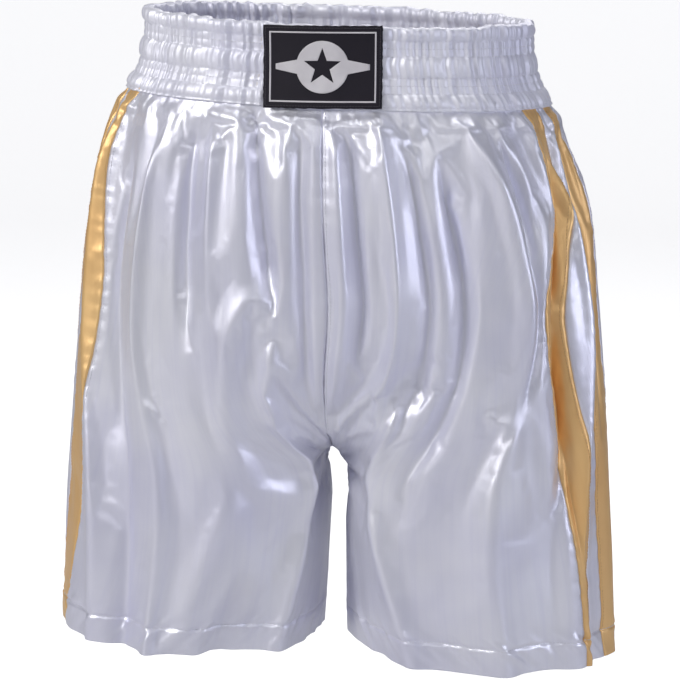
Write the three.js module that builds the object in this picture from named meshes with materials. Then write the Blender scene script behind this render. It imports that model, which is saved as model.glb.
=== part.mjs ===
// Satin boxing shorts: an elastic waistband folded over in satin, four gathered body panels,
// a pieced gold, white and gold stripe down each side, turned-up hems, a black woven badge
// and the sewing threads that hold them together.
//
// Millimetres, +Z up. The origin is the centre of the waist opening at the top edge of the
// waistband. The front faces -Y and the wearer's left leg is on +X.
import * as THREE from 'three';
import { mergeVertices } from 'three/addons/utils/BufferGeometryUtils.js';
import { TessellateModifier } from 'three/addons/modifiers/TessellateModifier.js';

// Overall size, as worn
const WAIST_HALF_WIDTH = 147;
const WAIST_HALF_DEPTH = 100;
const SIDE_LENGTH = 480; // waist edge to hem
const CROTCH_DROP = 330; // waist edge to the crotch point
const RISE_CURVE = 105; // height over which the rise seam curves in under the crotch
const LEG_SPREAD = 27; // gap between the two hems at the inseam
const CROTCH_SPREAD = 3; // gap between the two inseams just below the crotch

// How the body swells out below the waistband
const SEAM_FLARE_WIDTH = 16; // growth of the half width over the waistband
const SEAM_FLARE_DEPTH = 4;
const HIP_PUFF_WIDTH = 27; // quick growth where the gathers open
const HIP_PUFF_DEPTH = 12;
const HEM_FLARE_WIDTH = 29; // slow growth down to the hem
const HEM_FLARE_DEPTH = 2;
const PUFF_REACH = 47; // depth over which the gathers open
const LEG_FLATNESS = 0.84; // depth of a leg loop against the depth of the hips
const LEG_BLEND_ABOVE = 140; // heights over which the hips turn into two legs, away from
const LEG_BLEND_BELOW = 90; // the centre seams

// Waistband
const BAND_HEIGHT = 61;
const CLOTH = 1; // satin, with the little air that a bunched layer holds
const WIDE_PUFF = 2; // how far the bunched satin stands out between two groups of rows
const SMALL_PUFF = 0.6; // and between two rows of one group
const HIGH_ROWS_DEPTH = 16; // middle row of the upper three below the top edge
const LOW_ROWS_RISE = 18; // middle row of the lower three above the lower edge
const ROW_PITCH = 5.8;
const GROUP_BREAK = 1.2; // rows further apart than this many pitches have a wide puff between
const ELASTIC_THICKNESS = 1.5;
const ELASTIC_DROP = 3.5; // top of the elastic below the top of the band
const ELASTIC_CLEARANCE = 0.8; // between the elastic and the outer layer of its casing
const ELASTIC_BACK_CLEARANCE = 1.9; // between the elastic and the inner layer
const TUCK_HEIGHT = 9; // how far the body panels run up into the casing
const TUCK_EXIT = 1; // how far below the casing they turn outwards
const TUCK_CLEARANCE = 2.5; // between the panels and the elastic above them

// Hem
const HEM_HEIGHT = 22;
const HEM_TURN = 1; // extra thickness of the cloth turned up inside

// Side stripe
const GOLD_WIDTH = 30;
const WHITE_WIDTH = 17;
const STRIPE_FORWARD = 17; // middle of the stripe in front of the side of the leg

// Sewing
const SEAM_GAP = 0.3; // clearance between neighbouring cloth pieces
const THREAD_WIDTH = 0.9;
const THREAD_HEIGHT = 0.6;
const THREAD_LIFT = 0.3; // clearance under a thread
const SIDE_STITCH_OFFSET = 2; // topstitching beside a side seam
const SIDE_STITCH_START = 3; // body topstitching below the waistband
const RISE_STITCH_END = 20; // rise stitching above the crotch, where four panels meet
const WAIST_STITCH_RISE = 2.4; // waist seam thread above the lower edge of the band
const HEM_STITCH_DROP = 1.6; // hem thread below the turned-up edge

// Badge on the front of the waistband
const BADGE_WIDTH = 86;
const BADGE_TOP_MARGIN = 0.6; // below the top edge of the band
const BADGE_LOW_MARGIN = 0.4; // above its lower edge
const BADGE_THICKNESS = 0.9;
const BORDER_INSET = 5;
const BORDER_WIDTH = 1.2;
const PRINT_HEIGHT = 0.5; // raised weft of the border and the emblem
const EMBLEM_RADIUS = 19;
const EMBLEM_REACH = 34; // half width of the emblem with its bars
const BAR_ROOT = 5; // half height of a bar at the disc
const BAR_TIP = 2;
const STAR_RADIUS = 14;
const STAR_WAIST = 5.6; // radius at the inner corners of the star
const BADGE_STITCH_INSET = 1.8;

// Blank care tag, sewn in at the back
const TAG_WIDTH = 34;
const TAG_DROP = 40;
const TAG_THICKNESS = 0.6;

// Facets
const BAND_STEPS = 36; // round the waistband
const BAND_ROWS = 5; // down its flare
const PUFF_STEPS = 6; // from the waist seam to where the rise begins to curve
const RISE_STEPS = 6; // down the curve of the rise
const LEG_STEPS = 4; // from the crotch to the hem
const BADGE_STEPS = 12; // across the badge
const BEND_STEP = 9; // longest edge on the emblem, so that it follows the band
const BEND_PASSES = 8;
const TAG_STEPS = 4;

const shorts = new THREE.Group();

// ---------------------------------------------------------------- outline of the garment

const seamZ = -BAND_HEIGHT;
const crotchZ = -CROTCH_DROP;
const hemZ = -SIDE_LENGTH;
const hemTopZ = hemZ + HEM_HEIGHT;

// Half size at height z: the band flares with the cube of its depth, and below the seam
// the cloth opens exponentially over PUFF_REACH and then grows in proportion to the drop.
function halfSize(z, waist, seamFlare, puff, hemFlare) {
    if (z > seamZ) return waist + seamFlare * Math.max(0, -z / BAND_HEIGHT) ** 3;
    const drop = seamZ - z;
    const opened = puff * (1 - Math.exp(-drop / PUFF_REACH));
    return waist + seamFlare + opened + (hemFlare * drop) / (SIDE_LENGTH - BAND_HEIGHT);
}

function halfWidth(z) {
    return halfSize(z, WAIST_HALF_WIDTH, SEAM_FLARE_WIDTH, HIP_PUFF_WIDTH, HEM_FLARE_WIDTH);
}

function halfDepth(z) {
    return halfSize(z, WAIST_HALF_DEPTH, SEAM_FLARE_DEPTH, HIP_PUFF_DEPTH, HEM_FLARE_DEPTH);
}

function legDepth(z) {
    return halfDepth(z) * LEG_FLATNESS;
}

// How much of the hips' oval there is at (s, z). At the centre seams it is a quarter
// ellipse: 0 at and below the crotch, 1 from RISE_CURVE above it. Towards the side of the
// leg it turns into a smooth step.
function torsoShare(s, z) {
    const rise = THREE.MathUtils.clamp((z - crotchZ) / RISE_CURVE, 0, 1);
    const seam = Math.sqrt(1 - (1 - rise) ** 2);
    const low = crotchZ - LEG_BLEND_BELOW;
    const high = crotchZ + LEG_BLEND_ABOVE;
    const soft = THREE.MathUtils.smoothstep(z, low, high);
    return THREE.MathUtils.lerp(soft, seam, Math.cos(Math.PI * s) ** 4);
}

function innerX(z) {
    if (z >= crotchZ) return 0;
    const t = (crotchZ - z) / (crotchZ - hemZ);
    return THREE.MathUtils.lerp(CROTCH_SPREAD, LEG_SPREAD, t) / 2;
}

// One half of the body. s runs from the centre front (0) round the outside (0.5) to the
// centre back (1). Above the crotch it is half of the oval round the hips, below it the
// whole loop round the leg, and torsoShare blends the two.
function bodySurface(side, s, z) {
    const a = halfWidth(z);
    const b = halfDepth(z);
    const inner = innerX(z);
    const share = torsoShare(s, z);
    const hips = [a * Math.sin(Math.PI * s), -b * Math.cos(Math.PI * s)];
    const leg = [
        (a + inner) / 2 - ((a - inner) / 2) * Math.cos(2 * Math.PI * s),
        -legDepth(z) * Math.sin(2 * Math.PI * s),
    ];
    const x = THREE.MathUtils.lerp(leg[0], hips[0], share);
    const y = THREE.MathUtils.lerp(leg[1], hips[1], share);
    return new THREE.Vector3(side * x, y, z);
}

// The same surface moved outwards by lift, square to itself, and kept on its own side of
// the centre plane.
function bodyPoint(side, s, z, lift) {
    const ds = 1e-4;
    const dz = 1e-2;
    const point = bodySurface(side, s, z);
    const along = bodySurface(side, s + ds, z).sub(bodySurface(side, s - ds, z));
    const up = bodySurface(side, s, z + dz).sub(bodySurface(side, s, z - dz));
    const normal = along.cross(up).normalize().multiplyScalar(side);
    point.addScaledVector(normal, lift);
    point.x = side * Math.max(side * point.x, SEAM_GAP / 2);
    return point;
}

// Millimetres of cloth for one unit of s at the side of the leg
function sidePace(z) {
    const share = torsoShare(0.5, z);
    return Math.PI * (halfDepth(z) * share + 2 * legDepth(z) * (1 - share));
}

// s of a line that stays a fixed distance in front of the side of the leg
function besideLeg(forward) {
    return (z) => 0.5 - forward / sidePace(z);
}

// s of a line that stays a fixed distance from the inseam, on the front or on the back
function besideInseam(distance) {
    return (z) => distance / (2 * Math.PI * legDepth(z));
}

function besideCentreBack(distance) {
    return (z) => 1 - distance / (2 * Math.PI * legDepth(z));
}

// Round the waistband at angle turn (0 at the front, a quarter at the wearer's left) and
// height z, moved outwards level by lift
function bandPoint(turn, z, lift) {
    const a = halfWidth(z);
    const b = halfDepth(z);
    const angle = turn * 2 * Math.PI;
    const normal = new THREE.Vector2(b * Math.sin(angle), -a * Math.cos(angle)).normalize();
    return new THREE.Vector3(
        a * Math.sin(angle) + lift * normal.x,
        -b * Math.cos(angle) + lift * normal.y,
        z,
    );
}

// ---------------------------------------------------------------- solids

function meshFrom(name, positions, indices, material) {
    const geometry = new THREE.BufferGeometry();
    geometry.setAttribute('position', new THREE.Float32BufferAttribute(positions, 3));
    geometry.setIndex(indices);
    geometry.computeVertexNormals();
    const mesh = new THREE.Mesh(geometry, material);
    mesh.name = name;
    shorts.add(mesh);
    return mesh;
}

// Turns every face round if the closed solid is inside out
function pointOutwards(positions, indices) {
    const corner = (k) => new THREE.Vector3().fromArray(positions, 3 * indices[k]);
    let volume = 0;
    for (let k = 0; k < indices.length; k += 3) {
        volume += corner(k).dot(corner(k + 1).cross(corner(k + 2)));
    }
    if (volume < 0) indices.reverse();
}

// A section of several corners carried along a line of stations. section(i) gives its
// corners at station i; the line closes on itself or is capped at both ends. The first half
// of the corners is the face and the second half, in reverse, the back, and both are split
// along the same diagonals, so that a thin piece keeps its thickness.
function sweep(name, stations, section, closed, material) {
    const positions = [];
    const indices = [];
    const rings = Array.from({ length: stations }, (_, i) => section(i));
    const corners = rings[0].length;
    rings.flat().forEach((point) => positions.push(point.x, point.y, point.z));
    const spans = closed ? stations : stations - 1;
    for (let i = 0; i < spans; i += 1) {
        const here = i * corners;
        const next = ((i + 1) % stations) * corners;
        for (let k = 0; k < corners; k += 1) {
            const m = (k + 1) % corners;
            if (k < corners / 2) {
                indices.push(here + k, next + k, next + m);
                indices.push(here + k, next + m, here + m);
            } else {
                indices.push(here + k, next + k, here + m);
                indices.push(here + m, next + k, next + m);
            }
        }
    }
    if (!closed) {
        const last = (stations - 1) * corners;
        for (let k = 1; k < corners / 2; k += 1) {
            const m = corners - k;
            const quad = [k - 1, k, m - 1, m % corners];
            indices.push(quad[0], quad[1], quad[2], quad[0], quad[2], quad[3]);
            indices.push(last + quad[0], last + quad[2], last + quad[1]);
            indices.push(last + quad[0], last + quad[3], last + quad[2]);
        }
    }
    pointOutwards(positions, indices);
    return meshFrom(name, positions, indices, material);
}

const evenly = (share) => share;
const denserAtStart = (share) => share ** 1.5;
const denserAtEnd = (share) => 1 - (1 - share) ** 1.5;

// Values of s across a piece of cloth at height z
function stationsAcross({ from, to, spans, spacing = evenly }, z) {
    const shares = Array.from({ length: spans + 1 }, (_, k) => spacing(k / spans));
    return shares.map((share) => THREE.MathUtils.lerp(from(z), to(z), share));
}

// A strip of cloth on the body surface between the lines from(z) and to(z) of a piece.
// rows holds its heights with the lifts of its two faces.
function bodyStrip(name, side, piece, rows, material) {
    const section = (i) => {
        const { z, outer, inner } = rows[i];
        const across = stationsAcross(piece, z);
        const face = across.map((s) => bodyPoint(side, s, z, outer));
        const back = across.map((s) => bodyPoint(side, s, z, inner));
        return [...face, ...back.reverse()];
    };
    return sweep(name, rows.length, section, false, material);
}

// A closed ring round the waistband with the section [[z, lift], ...]
function bandRing(name, profile, material) {
    const section = (i) => profile.map(([z, lift]) => bandPoint(i / BAND_STEPS, z, lift));
    return sweep(name, BAND_STEPS, section, true, material);
}

// ---------------------------------------------------------------- materials

function finish(color, roughness) {
    return new THREE.MeshStandardMaterial({ color, roughness, metalness: 0 });
}

const whiteSatin = () => finish('#d6d8e8', 0.32);
const goldSatin = () => finish('#d59a52', 0.34);
const whiteThread = () => finish('#eeeef4', 0.6);
const goldThread = () => finish('#c98f4a', 0.6);
const blackWeave = () => finish('#15121a', 0.7);
const paleWeave = () => finish('#e4dfe2', 0.6);
const elasticWeave = () => finish('#f2f1ee', 0.85);

// ---------------------------------------------------------------- waistband

const rowGroups = [HIGH_ROWS_DEPTH, BAND_HEIGHT - LOW_ROWS_RISE];
const rowDepths = rowGroups.flatMap((middle) => [-1, 0, 1].map((k) => middle + k * ROW_PITCH));
const elasticFace = -(CLOTH + ELASTIC_CLEARANCE);
const elasticBack = elasticFace - ELASTIC_THICKNESS;
const casingInside = elasticBack - ELASTIC_BACK_CLEARANCE;

// The outer face of the casing from its lower edge up: a valley at each row of stitching
// and a bulge half way between two valleys
function puffedFace() {
    const valleys = [...rowDepths, BAND_HEIGHT - WAIST_STITCH_RISE].reverse();
    const face = [[seamZ, 0]];
    valleys.forEach((depth, i) => {
        const above = i + 1 < valleys.length ? valleys[i + 1] : CLOTH / 2;
        const bulge = depth - above > GROUP_BREAK * ROW_PITCH ? WIDE_PUFF : SMALL_PUFF;
        face.push([-depth, 0], [-(depth + above) / 2, bulge]);
    });
    return face;
}

// Heights from top down to bottom that follow the flare of the band, shared by its layers
function bandHeights(top, bottom) {
    const between = Array.from({ length: BAND_ROWS - 1 }, (_, k) => ((k + 1) / BAND_ROWS) * seamZ);
    return [top, ...between.filter((z) => z < top && z > bottom), bottom];
}

function waistbandCasing() {
    const down = bandHeights(-CLOTH, seamZ);
    const up = [...down].reverse();
    const profile = [
        ...puffedFace(),
        [-CLOTH / 2, 0],
        [0, -CLOTH],
        [0, casingInside],
        ...down.map((z) => [z, casingInside - CLOTH]),
        ...up.map((z) => [z, casingInside]),
        ...down.map((z) => [z, -CLOTH]),
    ];
    bandRing('waistband_casing', profile, whiteSatin());
}

function waistbandElastic() {
    const down = bandHeights(-ELASTIC_DROP, seamZ + TUCK_HEIGHT + TUCK_CLEARANCE);
    const up = [...down].reverse();
    const profile = [...up.map((z) => [z, elasticFace]), ...down.map((z) => [z, elasticBack])];
    bandRing('waistband_elastic', profile, elasticWeave());
}

// A thread lying on the band at height z
function bandThread(name, z, material) {
    const low = z - THREAD_WIDTH / 2;
    const high = z + THREAD_WIDTH / 2;
    const near = THREAD_LIFT + bandCrown;
    const far = near + THREAD_HEIGHT;
    bandRing(name, [[low, near], [low, far], [high, far], [high, near]], material);
}

// How much the bulges beside a valley rise within half a thread's width of it
const bandCrown = (THREAD_WIDTH / 2) * ((2 * WIDE_PUFF) / ROW_PITCH);

function waistbandStitching() {
    rowDepths.forEach((depth, i) => {
        bandThread(`waistband_stitch_row_${i + 1}`, -depth, whiteThread());
    });
    bandThread('waist_seam_thread', seamZ + WAIST_STITCH_RISE, whiteThread());
}

// ---------------------------------------------------------------- body

// Heights between two levels, the first left out, closer together at the start
function heightsBetween(high, low, steps) {
    const shares = Array.from({ length: steps }, (_, k) => denserAtStart((k + 1) / steps));
    return shares.map((share) => THREE.MathUtils.lerp(high, low, share));
}

// Heights of a body piece, from the tuck inside the casing down to the hem, each with the
// lifts of its outer and inner face. The tuck runs level with the elastic above it.
function clothRows() {
    const row = (z, lift, thickness) => ({ z, outer: lift, inner: lift - thickness });
    const tuck = [seamZ + TUCK_HEIGHT, seamZ - TUCK_EXIT].map((z) => row(z, elasticFace, CLOTH));
    const rise = Array.from({ length: RISE_STEPS }, (_, k) => 1 - (k + 1) / RISE_STEPS);
    const body = [
        ...heightsBetween(seamZ, crotchZ + RISE_CURVE, PUFF_STEPS),
        ...rise.map((share) => crotchZ + RISE_CURVE * share ** 2),
        ...heightsBetween(crotchZ, hemTopZ, LEG_STEPS),
    ].map((z) => row(z, 0, CLOTH));
    const hem = [hemTopZ - HEM_TURN / 2, hemZ].map((z) => row(z, 0, CLOTH + HEM_TURN));
    return [...tuck, ...body, ...hem];
}

const halfGap = SEAM_GAP / 2;
const stripeFront = STRIPE_FORWARD + WHITE_WIDTH / 2 + GOLD_WIDTH;
const goldWhiteFront = stripeFront - GOLD_WIDTH;
const goldWhiteBack = goldWhiteFront - WHITE_WIDTH;
const stripeBack = goldWhiteBack - GOLD_WIDTH;

// The five pieces round one leg, from the centre front to the centre back, each between
// two lines on the body surface, with its number of spans across
const bodyPieces = [
    {
        label: (leg) => `front_${leg}_panel`,
        from: besideInseam(halfGap),
        to: besideLeg(stripeFront + halfGap),
        spans: 9,
        spacing: denserAtStart,
        material: whiteSatin,
    },
    {
        label: (leg) => `${leg}_front_gold_stripe`,
        from: besideLeg(stripeFront - halfGap),
        to: besideLeg(goldWhiteFront + halfGap),
        spans: 2,
        material: goldSatin,
    },
    {
        label: (leg) => `${leg}_white_stripe`,
        from: besideLeg(goldWhiteFront - halfGap),
        to: besideLeg(goldWhiteBack + halfGap),
        spans: 2,
        material: whiteSatin,
    },
    {
        label: (leg) => `${leg}_rear_gold_stripe`,
        from: besideLeg(goldWhiteBack - halfGap),
        to: besideLeg(stripeBack + halfGap),
        spans: 2,
        material: goldSatin,
    },
    {
        label: (leg) => `back_${leg}_panel`,
        from: besideLeg(stripeBack - halfGap),
        to: besideCentreBack(halfGap),
        spans: 11,
        spacing: denserAtEnd,
        material: whiteSatin,
    },
];

function bodyCloth(side, leg) {
    const rows = clothRows();
    bodyPieces.forEach((piece) => {
        bodyStrip(piece.label(leg), side, piece, rows, piece.material());
    });
}

// ---------------------------------------------------------------- seams

const threadRow = (z) => ({ z, outer: THREAD_LIFT + THREAD_HEIGHT, inner: THREAD_LIFT });

const stitchTop = seamZ - SIDE_STITCH_START;

// Rows of a thread that follows the cloth between two levels
function threadRows(high, low) {
    return clothRows().filter(({ z }) => z < high && z >= low).map(({ z }) => threadRow(z));
}

// Topstitching beside the four seams of one side stripe, from below the waistband to the
// thread of the hem
function sideSeamThreads(side, name) {
    const threads = [threadRow(stitchTop), ...threadRows(stitchTop, hemTopZ)];
    const seams = [
        ['front_panel', stripeFront + SIDE_STITCH_OFFSET, whiteThread()],
        ['front_gold', goldWhiteFront + SIDE_STITCH_OFFSET, goldThread()],
        ['rear_gold', goldWhiteBack - SIDE_STITCH_OFFSET, goldThread()],
        ['back_panel', stripeBack - SIDE_STITCH_OFFSET, whiteThread()],
    ];
    seams.forEach(([seam, forward, material]) => {
        const from = besideLeg(forward + THREAD_WIDTH / 2);
        const to = besideLeg(forward - THREAD_WIDTH / 2);
        const line = { from, to, spans: 1 };
        bodyStrip(`${name}_${seam}_seam_thread`, side, line, threads, material);
    });
}

// The thread of one rise seam lies on the wearer's left panel, beside the centre plane
function riseSeamThread(name, beside) {
    const threads = [threadRow(stitchTop), ...threadRows(stitchTop, crotchZ + RISE_STITCH_END)];
    const from = beside(SIDE_STITCH_OFFSET - THREAD_WIDTH / 2);
    const to = beside(SIDE_STITCH_OFFSET + THREAD_WIDTH / 2);
    bodyStrip(name, 1, { from, to, spans: 1 }, threads, whiteThread());
}

// Distance across the centre plane, turned into s of the oval round the hips
function besideCentreFront(distance) {
    return (z) => distance / (Math.PI * halfWidth(z));
}

function inseamThread(side, name) {
    const threads = threadRows(crotchZ, hemTopZ);
    const from = besideInseam(SIDE_STITCH_OFFSET - THREAD_WIDTH / 2);
    const to = besideInseam(SIDE_STITCH_OFFSET + THREAD_WIDTH / 2);
    const line = { from, to, spans: 1 };
    bodyStrip(`${name}_inseam_thread`, side, line, threads, whiteThread());
}

// A ring of thread round one hem, just below the turned-up edge, bent at the same places
// as the cloth under it
function hemThread(side, name) {
    const z = hemTopZ - HEM_STITCH_DROP;
    const stations = bodyPieces.flatMap((piece) => stationsAcross(piece, z));
    const section = (i) => {
        const s = stations[i];
        const low = z - THREAD_WIDTH / 2;
        const high = z + THREAD_WIDTH / 2;
        const near = THREAD_LIFT;
        const far = THREAD_LIFT + THREAD_HEIGHT;
        return [
            bodyPoint(side, s, low, near),
            bodyPoint(side, s, low, far),
            bodyPoint(side, s, high, far),
            bodyPoint(side, s, high, near),
        ];
    };
    sweep(`${name}_hem_thread`, stations.length, section, true, whiteThread());
}

// ---------------------------------------------------------------- badge

const badgeHeight = BAND_HEIGHT - BADGE_TOP_MARGIN - BADGE_LOW_MARGIN;
const badgeMiddleZ = -BADGE_TOP_MARGIN - badgeHeight / 2;
const badgeLift = WIDE_PUFF + SEAM_GAP;

// A point of the badge at x across and y up from its middle, wrapped round the band
function badgePoint(x, y, lift) {
    const z = badgeMiddleZ + y;
    const turn = Math.asin(x / halfWidth(z)) / (2 * Math.PI);
    return bandPoint(turn, z, badgeLift + lift);
}

function badgeBacking() {
    const heights = [-0.5, -0.3, 0, 0.5].map((share) => share * badgeHeight);
    const section = (i) => {
        const x = (i / BADGE_STEPS - 0.5) * BADGE_WIDTH;
        const back = heights.map((y) => badgePoint(x, y, 0));
        const face = heights.map((y) => badgePoint(x, y, BADGE_THICKNESS));
        return [...back, ...face.reverse()];
    };
    sweep('badge_backing', BADGE_STEPS + 1, section, false, blackWeave());
}

// Corners of a rectangle's outline as points every few millimetres, going round once
function rectanglePath(halfX, halfY) {
    const path = new THREE.Path();
    path.moveTo(-halfX, -halfY);
    path.lineTo(halfX, -halfY);
    path.lineTo(halfX, halfY);
    path.lineTo(-halfX, halfY);
    path.closePath();
    const across = 8;
    const up = 4;
    const sides = path.curves.map((line, i) => line.getSpacedPoints(i % 2 ? up : across));
    return sides.flatMap((points) => points.slice(0, -1));
}

// A raised line that follows a rectangle on the badge
function badgeFrame(name, inset, width, lift, height, material) {
    const middle = [BADGE_WIDTH / 2 - inset, badgeHeight / 2 - inset];
    const outer = rectanglePath(middle[0] + width / 2, middle[1] + width / 2);
    const inner = rectanglePath(middle[0] - width / 2, middle[1] - width / 2);
    const section = (i) => [
        badgePoint(outer[i].x, outer[i].y, lift),
        badgePoint(outer[i].x, outer[i].y, lift + height),
        badgePoint(inner[i].x, inner[i].y, lift + height),
        badgePoint(inner[i].x, inner[i].y, lift),
    ];
    sweep(name, outer.length, section, true, material);
}

// A disc with a tapered bar on each side, pierced by a five-pointed star
function emblemShape() {
    const root = Math.asin(BAR_ROOT / EMBLEM_RADIUS);
    const outline = new THREE.Shape();
    outline.moveTo(EMBLEM_REACH, -BAR_TIP);
    outline.lineTo(EMBLEM_REACH, BAR_TIP);
    outline.absarc(0, 0, EMBLEM_RADIUS, root, Math.PI - root, false);
    outline.lineTo(-EMBLEM_REACH, BAR_TIP);
    outline.lineTo(-EMBLEM_REACH, -BAR_TIP);
    outline.absarc(0, 0, EMBLEM_RADIUS, Math.PI + root, 2 * Math.PI - root, false);
    outline.closePath();
    const star = Array.from({ length: 10 }, (_, k) => {
        const radius = k % 2 ? STAR_WAIST : STAR_RADIUS;
        const angle = Math.PI / 2 + (k * Math.PI) / 5;
        return new THREE.Vector2(radius * Math.cos(angle), radius * Math.sin(angle));
    });
    outline.holes.push(new THREE.Path(star));
    return outline;
}

function badgeEmblem() {
    const flat = new THREE.ExtrudeGeometry(emblemShape(), {
        depth: PRINT_HEIGHT,
        bevelEnabled: false,
        curveSegments: 10,
    });
    const fine = new TessellateModifier(BEND_STEP, BEND_PASSES).modify(flat);
    fine.deleteAttribute('normal');
    fine.deleteAttribute('uv');
    const solid = mergeVertices(fine, 1e-4);
    const corners = solid.attributes.position;
    const lift = BADGE_THICKNESS + SEAM_GAP;
    for (let i = 0; i < corners.count; i += 1) {
        const point = badgePoint(corners.getX(i), corners.getY(i), lift + corners.getZ(i));
        corners.setXYZ(i, point.x, point.y, point.z);
    }
    meshFrom('badge_emblem', [...corners.array], [...solid.index.array], paleWeave());
}

function badge() {
    const onBadge = BADGE_THICKNESS + SEAM_GAP;
    badgeBacking();
    badgeFrame('badge_border', BORDER_INSET, BORDER_WIDTH, onBadge, PRINT_HEIGHT, paleWeave());
    badgeFrame(
        'badge_stitch_thread',
        BADGE_STITCH_INSET,
        THREAD_WIDTH,
        onBadge,
        THREAD_HEIGHT,
        blackWeave(),
    );
    badgeEmblem();
}

// A blank tag hanging inside the back of the band
function careTag() {
    const lift = casingInside - CLOTH - SEAM_GAP;
    const topZ = seamZ + TUCK_HEIGHT;
    const section = (i) => {
        const x = (i / TAG_STEPS - 0.5) * TAG_WIDTH;
        const turn = 0.5 - Math.asin(x / halfWidth(topZ)) / (2 * Math.PI);
        const level = (drop, extra) => bandPoint(turn, topZ, lift + extra).setZ(topZ - drop);
        return [
            level(0, 0),
            level(TAG_DROP, 0),
            level(TAG_DROP, -TAG_THICKNESS),
            level(0, -TAG_THICKNESS),
        ];
    };
    sweep('care_tag', TAG_STEPS + 1, section, false, elasticWeave());
}

// ---------------------------------------------------------------- assembly

waistbandCasing();
waistbandElastic();
waistbandStitching();
badge();
careTag();
[[1, 'left'], [-1, 'right']].forEach(([side, name]) => {
    bodyCloth(side, name);
    sideSeamThreads(side, name);
    inseamThread(side, name);
    hemThread(side, name);
});
riseSeamThread('front_rise_seam_thread', besideCentreFront);
riseSeamThread('back_rise_seam_thread', (distance) => {
    const beside = besideCentreFront(distance);
    return (z) => 1 - beside(z);
});

export default shorts;
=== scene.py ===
"""Satin boxing shorts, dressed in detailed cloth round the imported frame.

The body of the shorts is one surface in two halves. Each half has two parameters: s runs
from the centre front (0) round the outside of the leg (0.5) to the centre back (1), and z
is the height. The cloth is gathered on that surface, draped by simulation over a plain
wearer, and then cut into panels and stripes, hemmed and stitched.
"""
import functools
import math

import bpy
import numpy as np
from bpy.props import FloatProperty, FloatVectorProperty, IntProperty, PointerProperty
from bpy.types import Operator, Panel, PropertyGroup
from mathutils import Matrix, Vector


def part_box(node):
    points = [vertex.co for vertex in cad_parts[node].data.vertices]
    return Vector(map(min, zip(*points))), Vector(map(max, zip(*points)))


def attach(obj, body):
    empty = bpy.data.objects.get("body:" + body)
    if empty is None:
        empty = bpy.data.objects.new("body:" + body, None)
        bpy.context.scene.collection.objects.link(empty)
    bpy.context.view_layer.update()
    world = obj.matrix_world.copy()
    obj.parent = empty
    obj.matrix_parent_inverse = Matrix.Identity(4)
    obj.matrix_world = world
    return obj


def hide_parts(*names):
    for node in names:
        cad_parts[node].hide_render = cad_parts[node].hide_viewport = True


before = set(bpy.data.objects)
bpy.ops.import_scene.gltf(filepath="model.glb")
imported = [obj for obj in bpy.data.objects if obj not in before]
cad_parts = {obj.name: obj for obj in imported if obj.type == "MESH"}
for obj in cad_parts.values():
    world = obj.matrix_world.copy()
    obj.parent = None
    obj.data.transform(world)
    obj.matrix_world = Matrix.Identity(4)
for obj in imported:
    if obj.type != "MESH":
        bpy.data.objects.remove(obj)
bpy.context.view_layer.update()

bl_info = {
    "name": "Boxing Shorts Dressmaker",
    "version": (1, 0, 0),
    "blender": (4, 5, 0),
    "location": "View3D > Sidebar > Shorts",
    "description": "Drapes, sews and lights a pair of satin boxing shorts",
    "category": "Object",
}

BODY = "root"
SIDES = {"left": 1.0, "right": -1.0}
MM = 0.001
# lengths of cloth in millimetres that waves are laid out on: round the band, round a hem,
# and round one half for its gathers and for its creases
BAND_ROUND, HEM_ROUND, GATHER_ROUND, CREASE_ROUND = 800.0, 660.0, 520.0, 600.0
HEM_STITCH_DROP = 0.0016


# ------------------------------------------------------------------ sizes and colours


def length(name, default, text, low=0.0, high=1.0):
    """A size in metres, with its name, default and description."""
    return FloatProperty(
        name=name, default=default, description=text, min=low, max=high, unit="LENGTH", precision=4
    )


def share(name, default, text, low=0.0, high=10.0):
    """A number without a unit."""
    return FloatProperty(name=name, default=default, description=text, min=low, max=high)


def colour(name, default, text):
    """A linear colour."""
    return FloatVectorProperty(
        name=name, default=default, description=text, size=3, min=0.0, max=1.0, subtype="COLOR"
    )


def frame_value(node, corner, axis):
    """One coordinate of a CAD node's box: corner 0 is the lowest, 1 the highest."""
    return float(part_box(node)[corner][axis])


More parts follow.
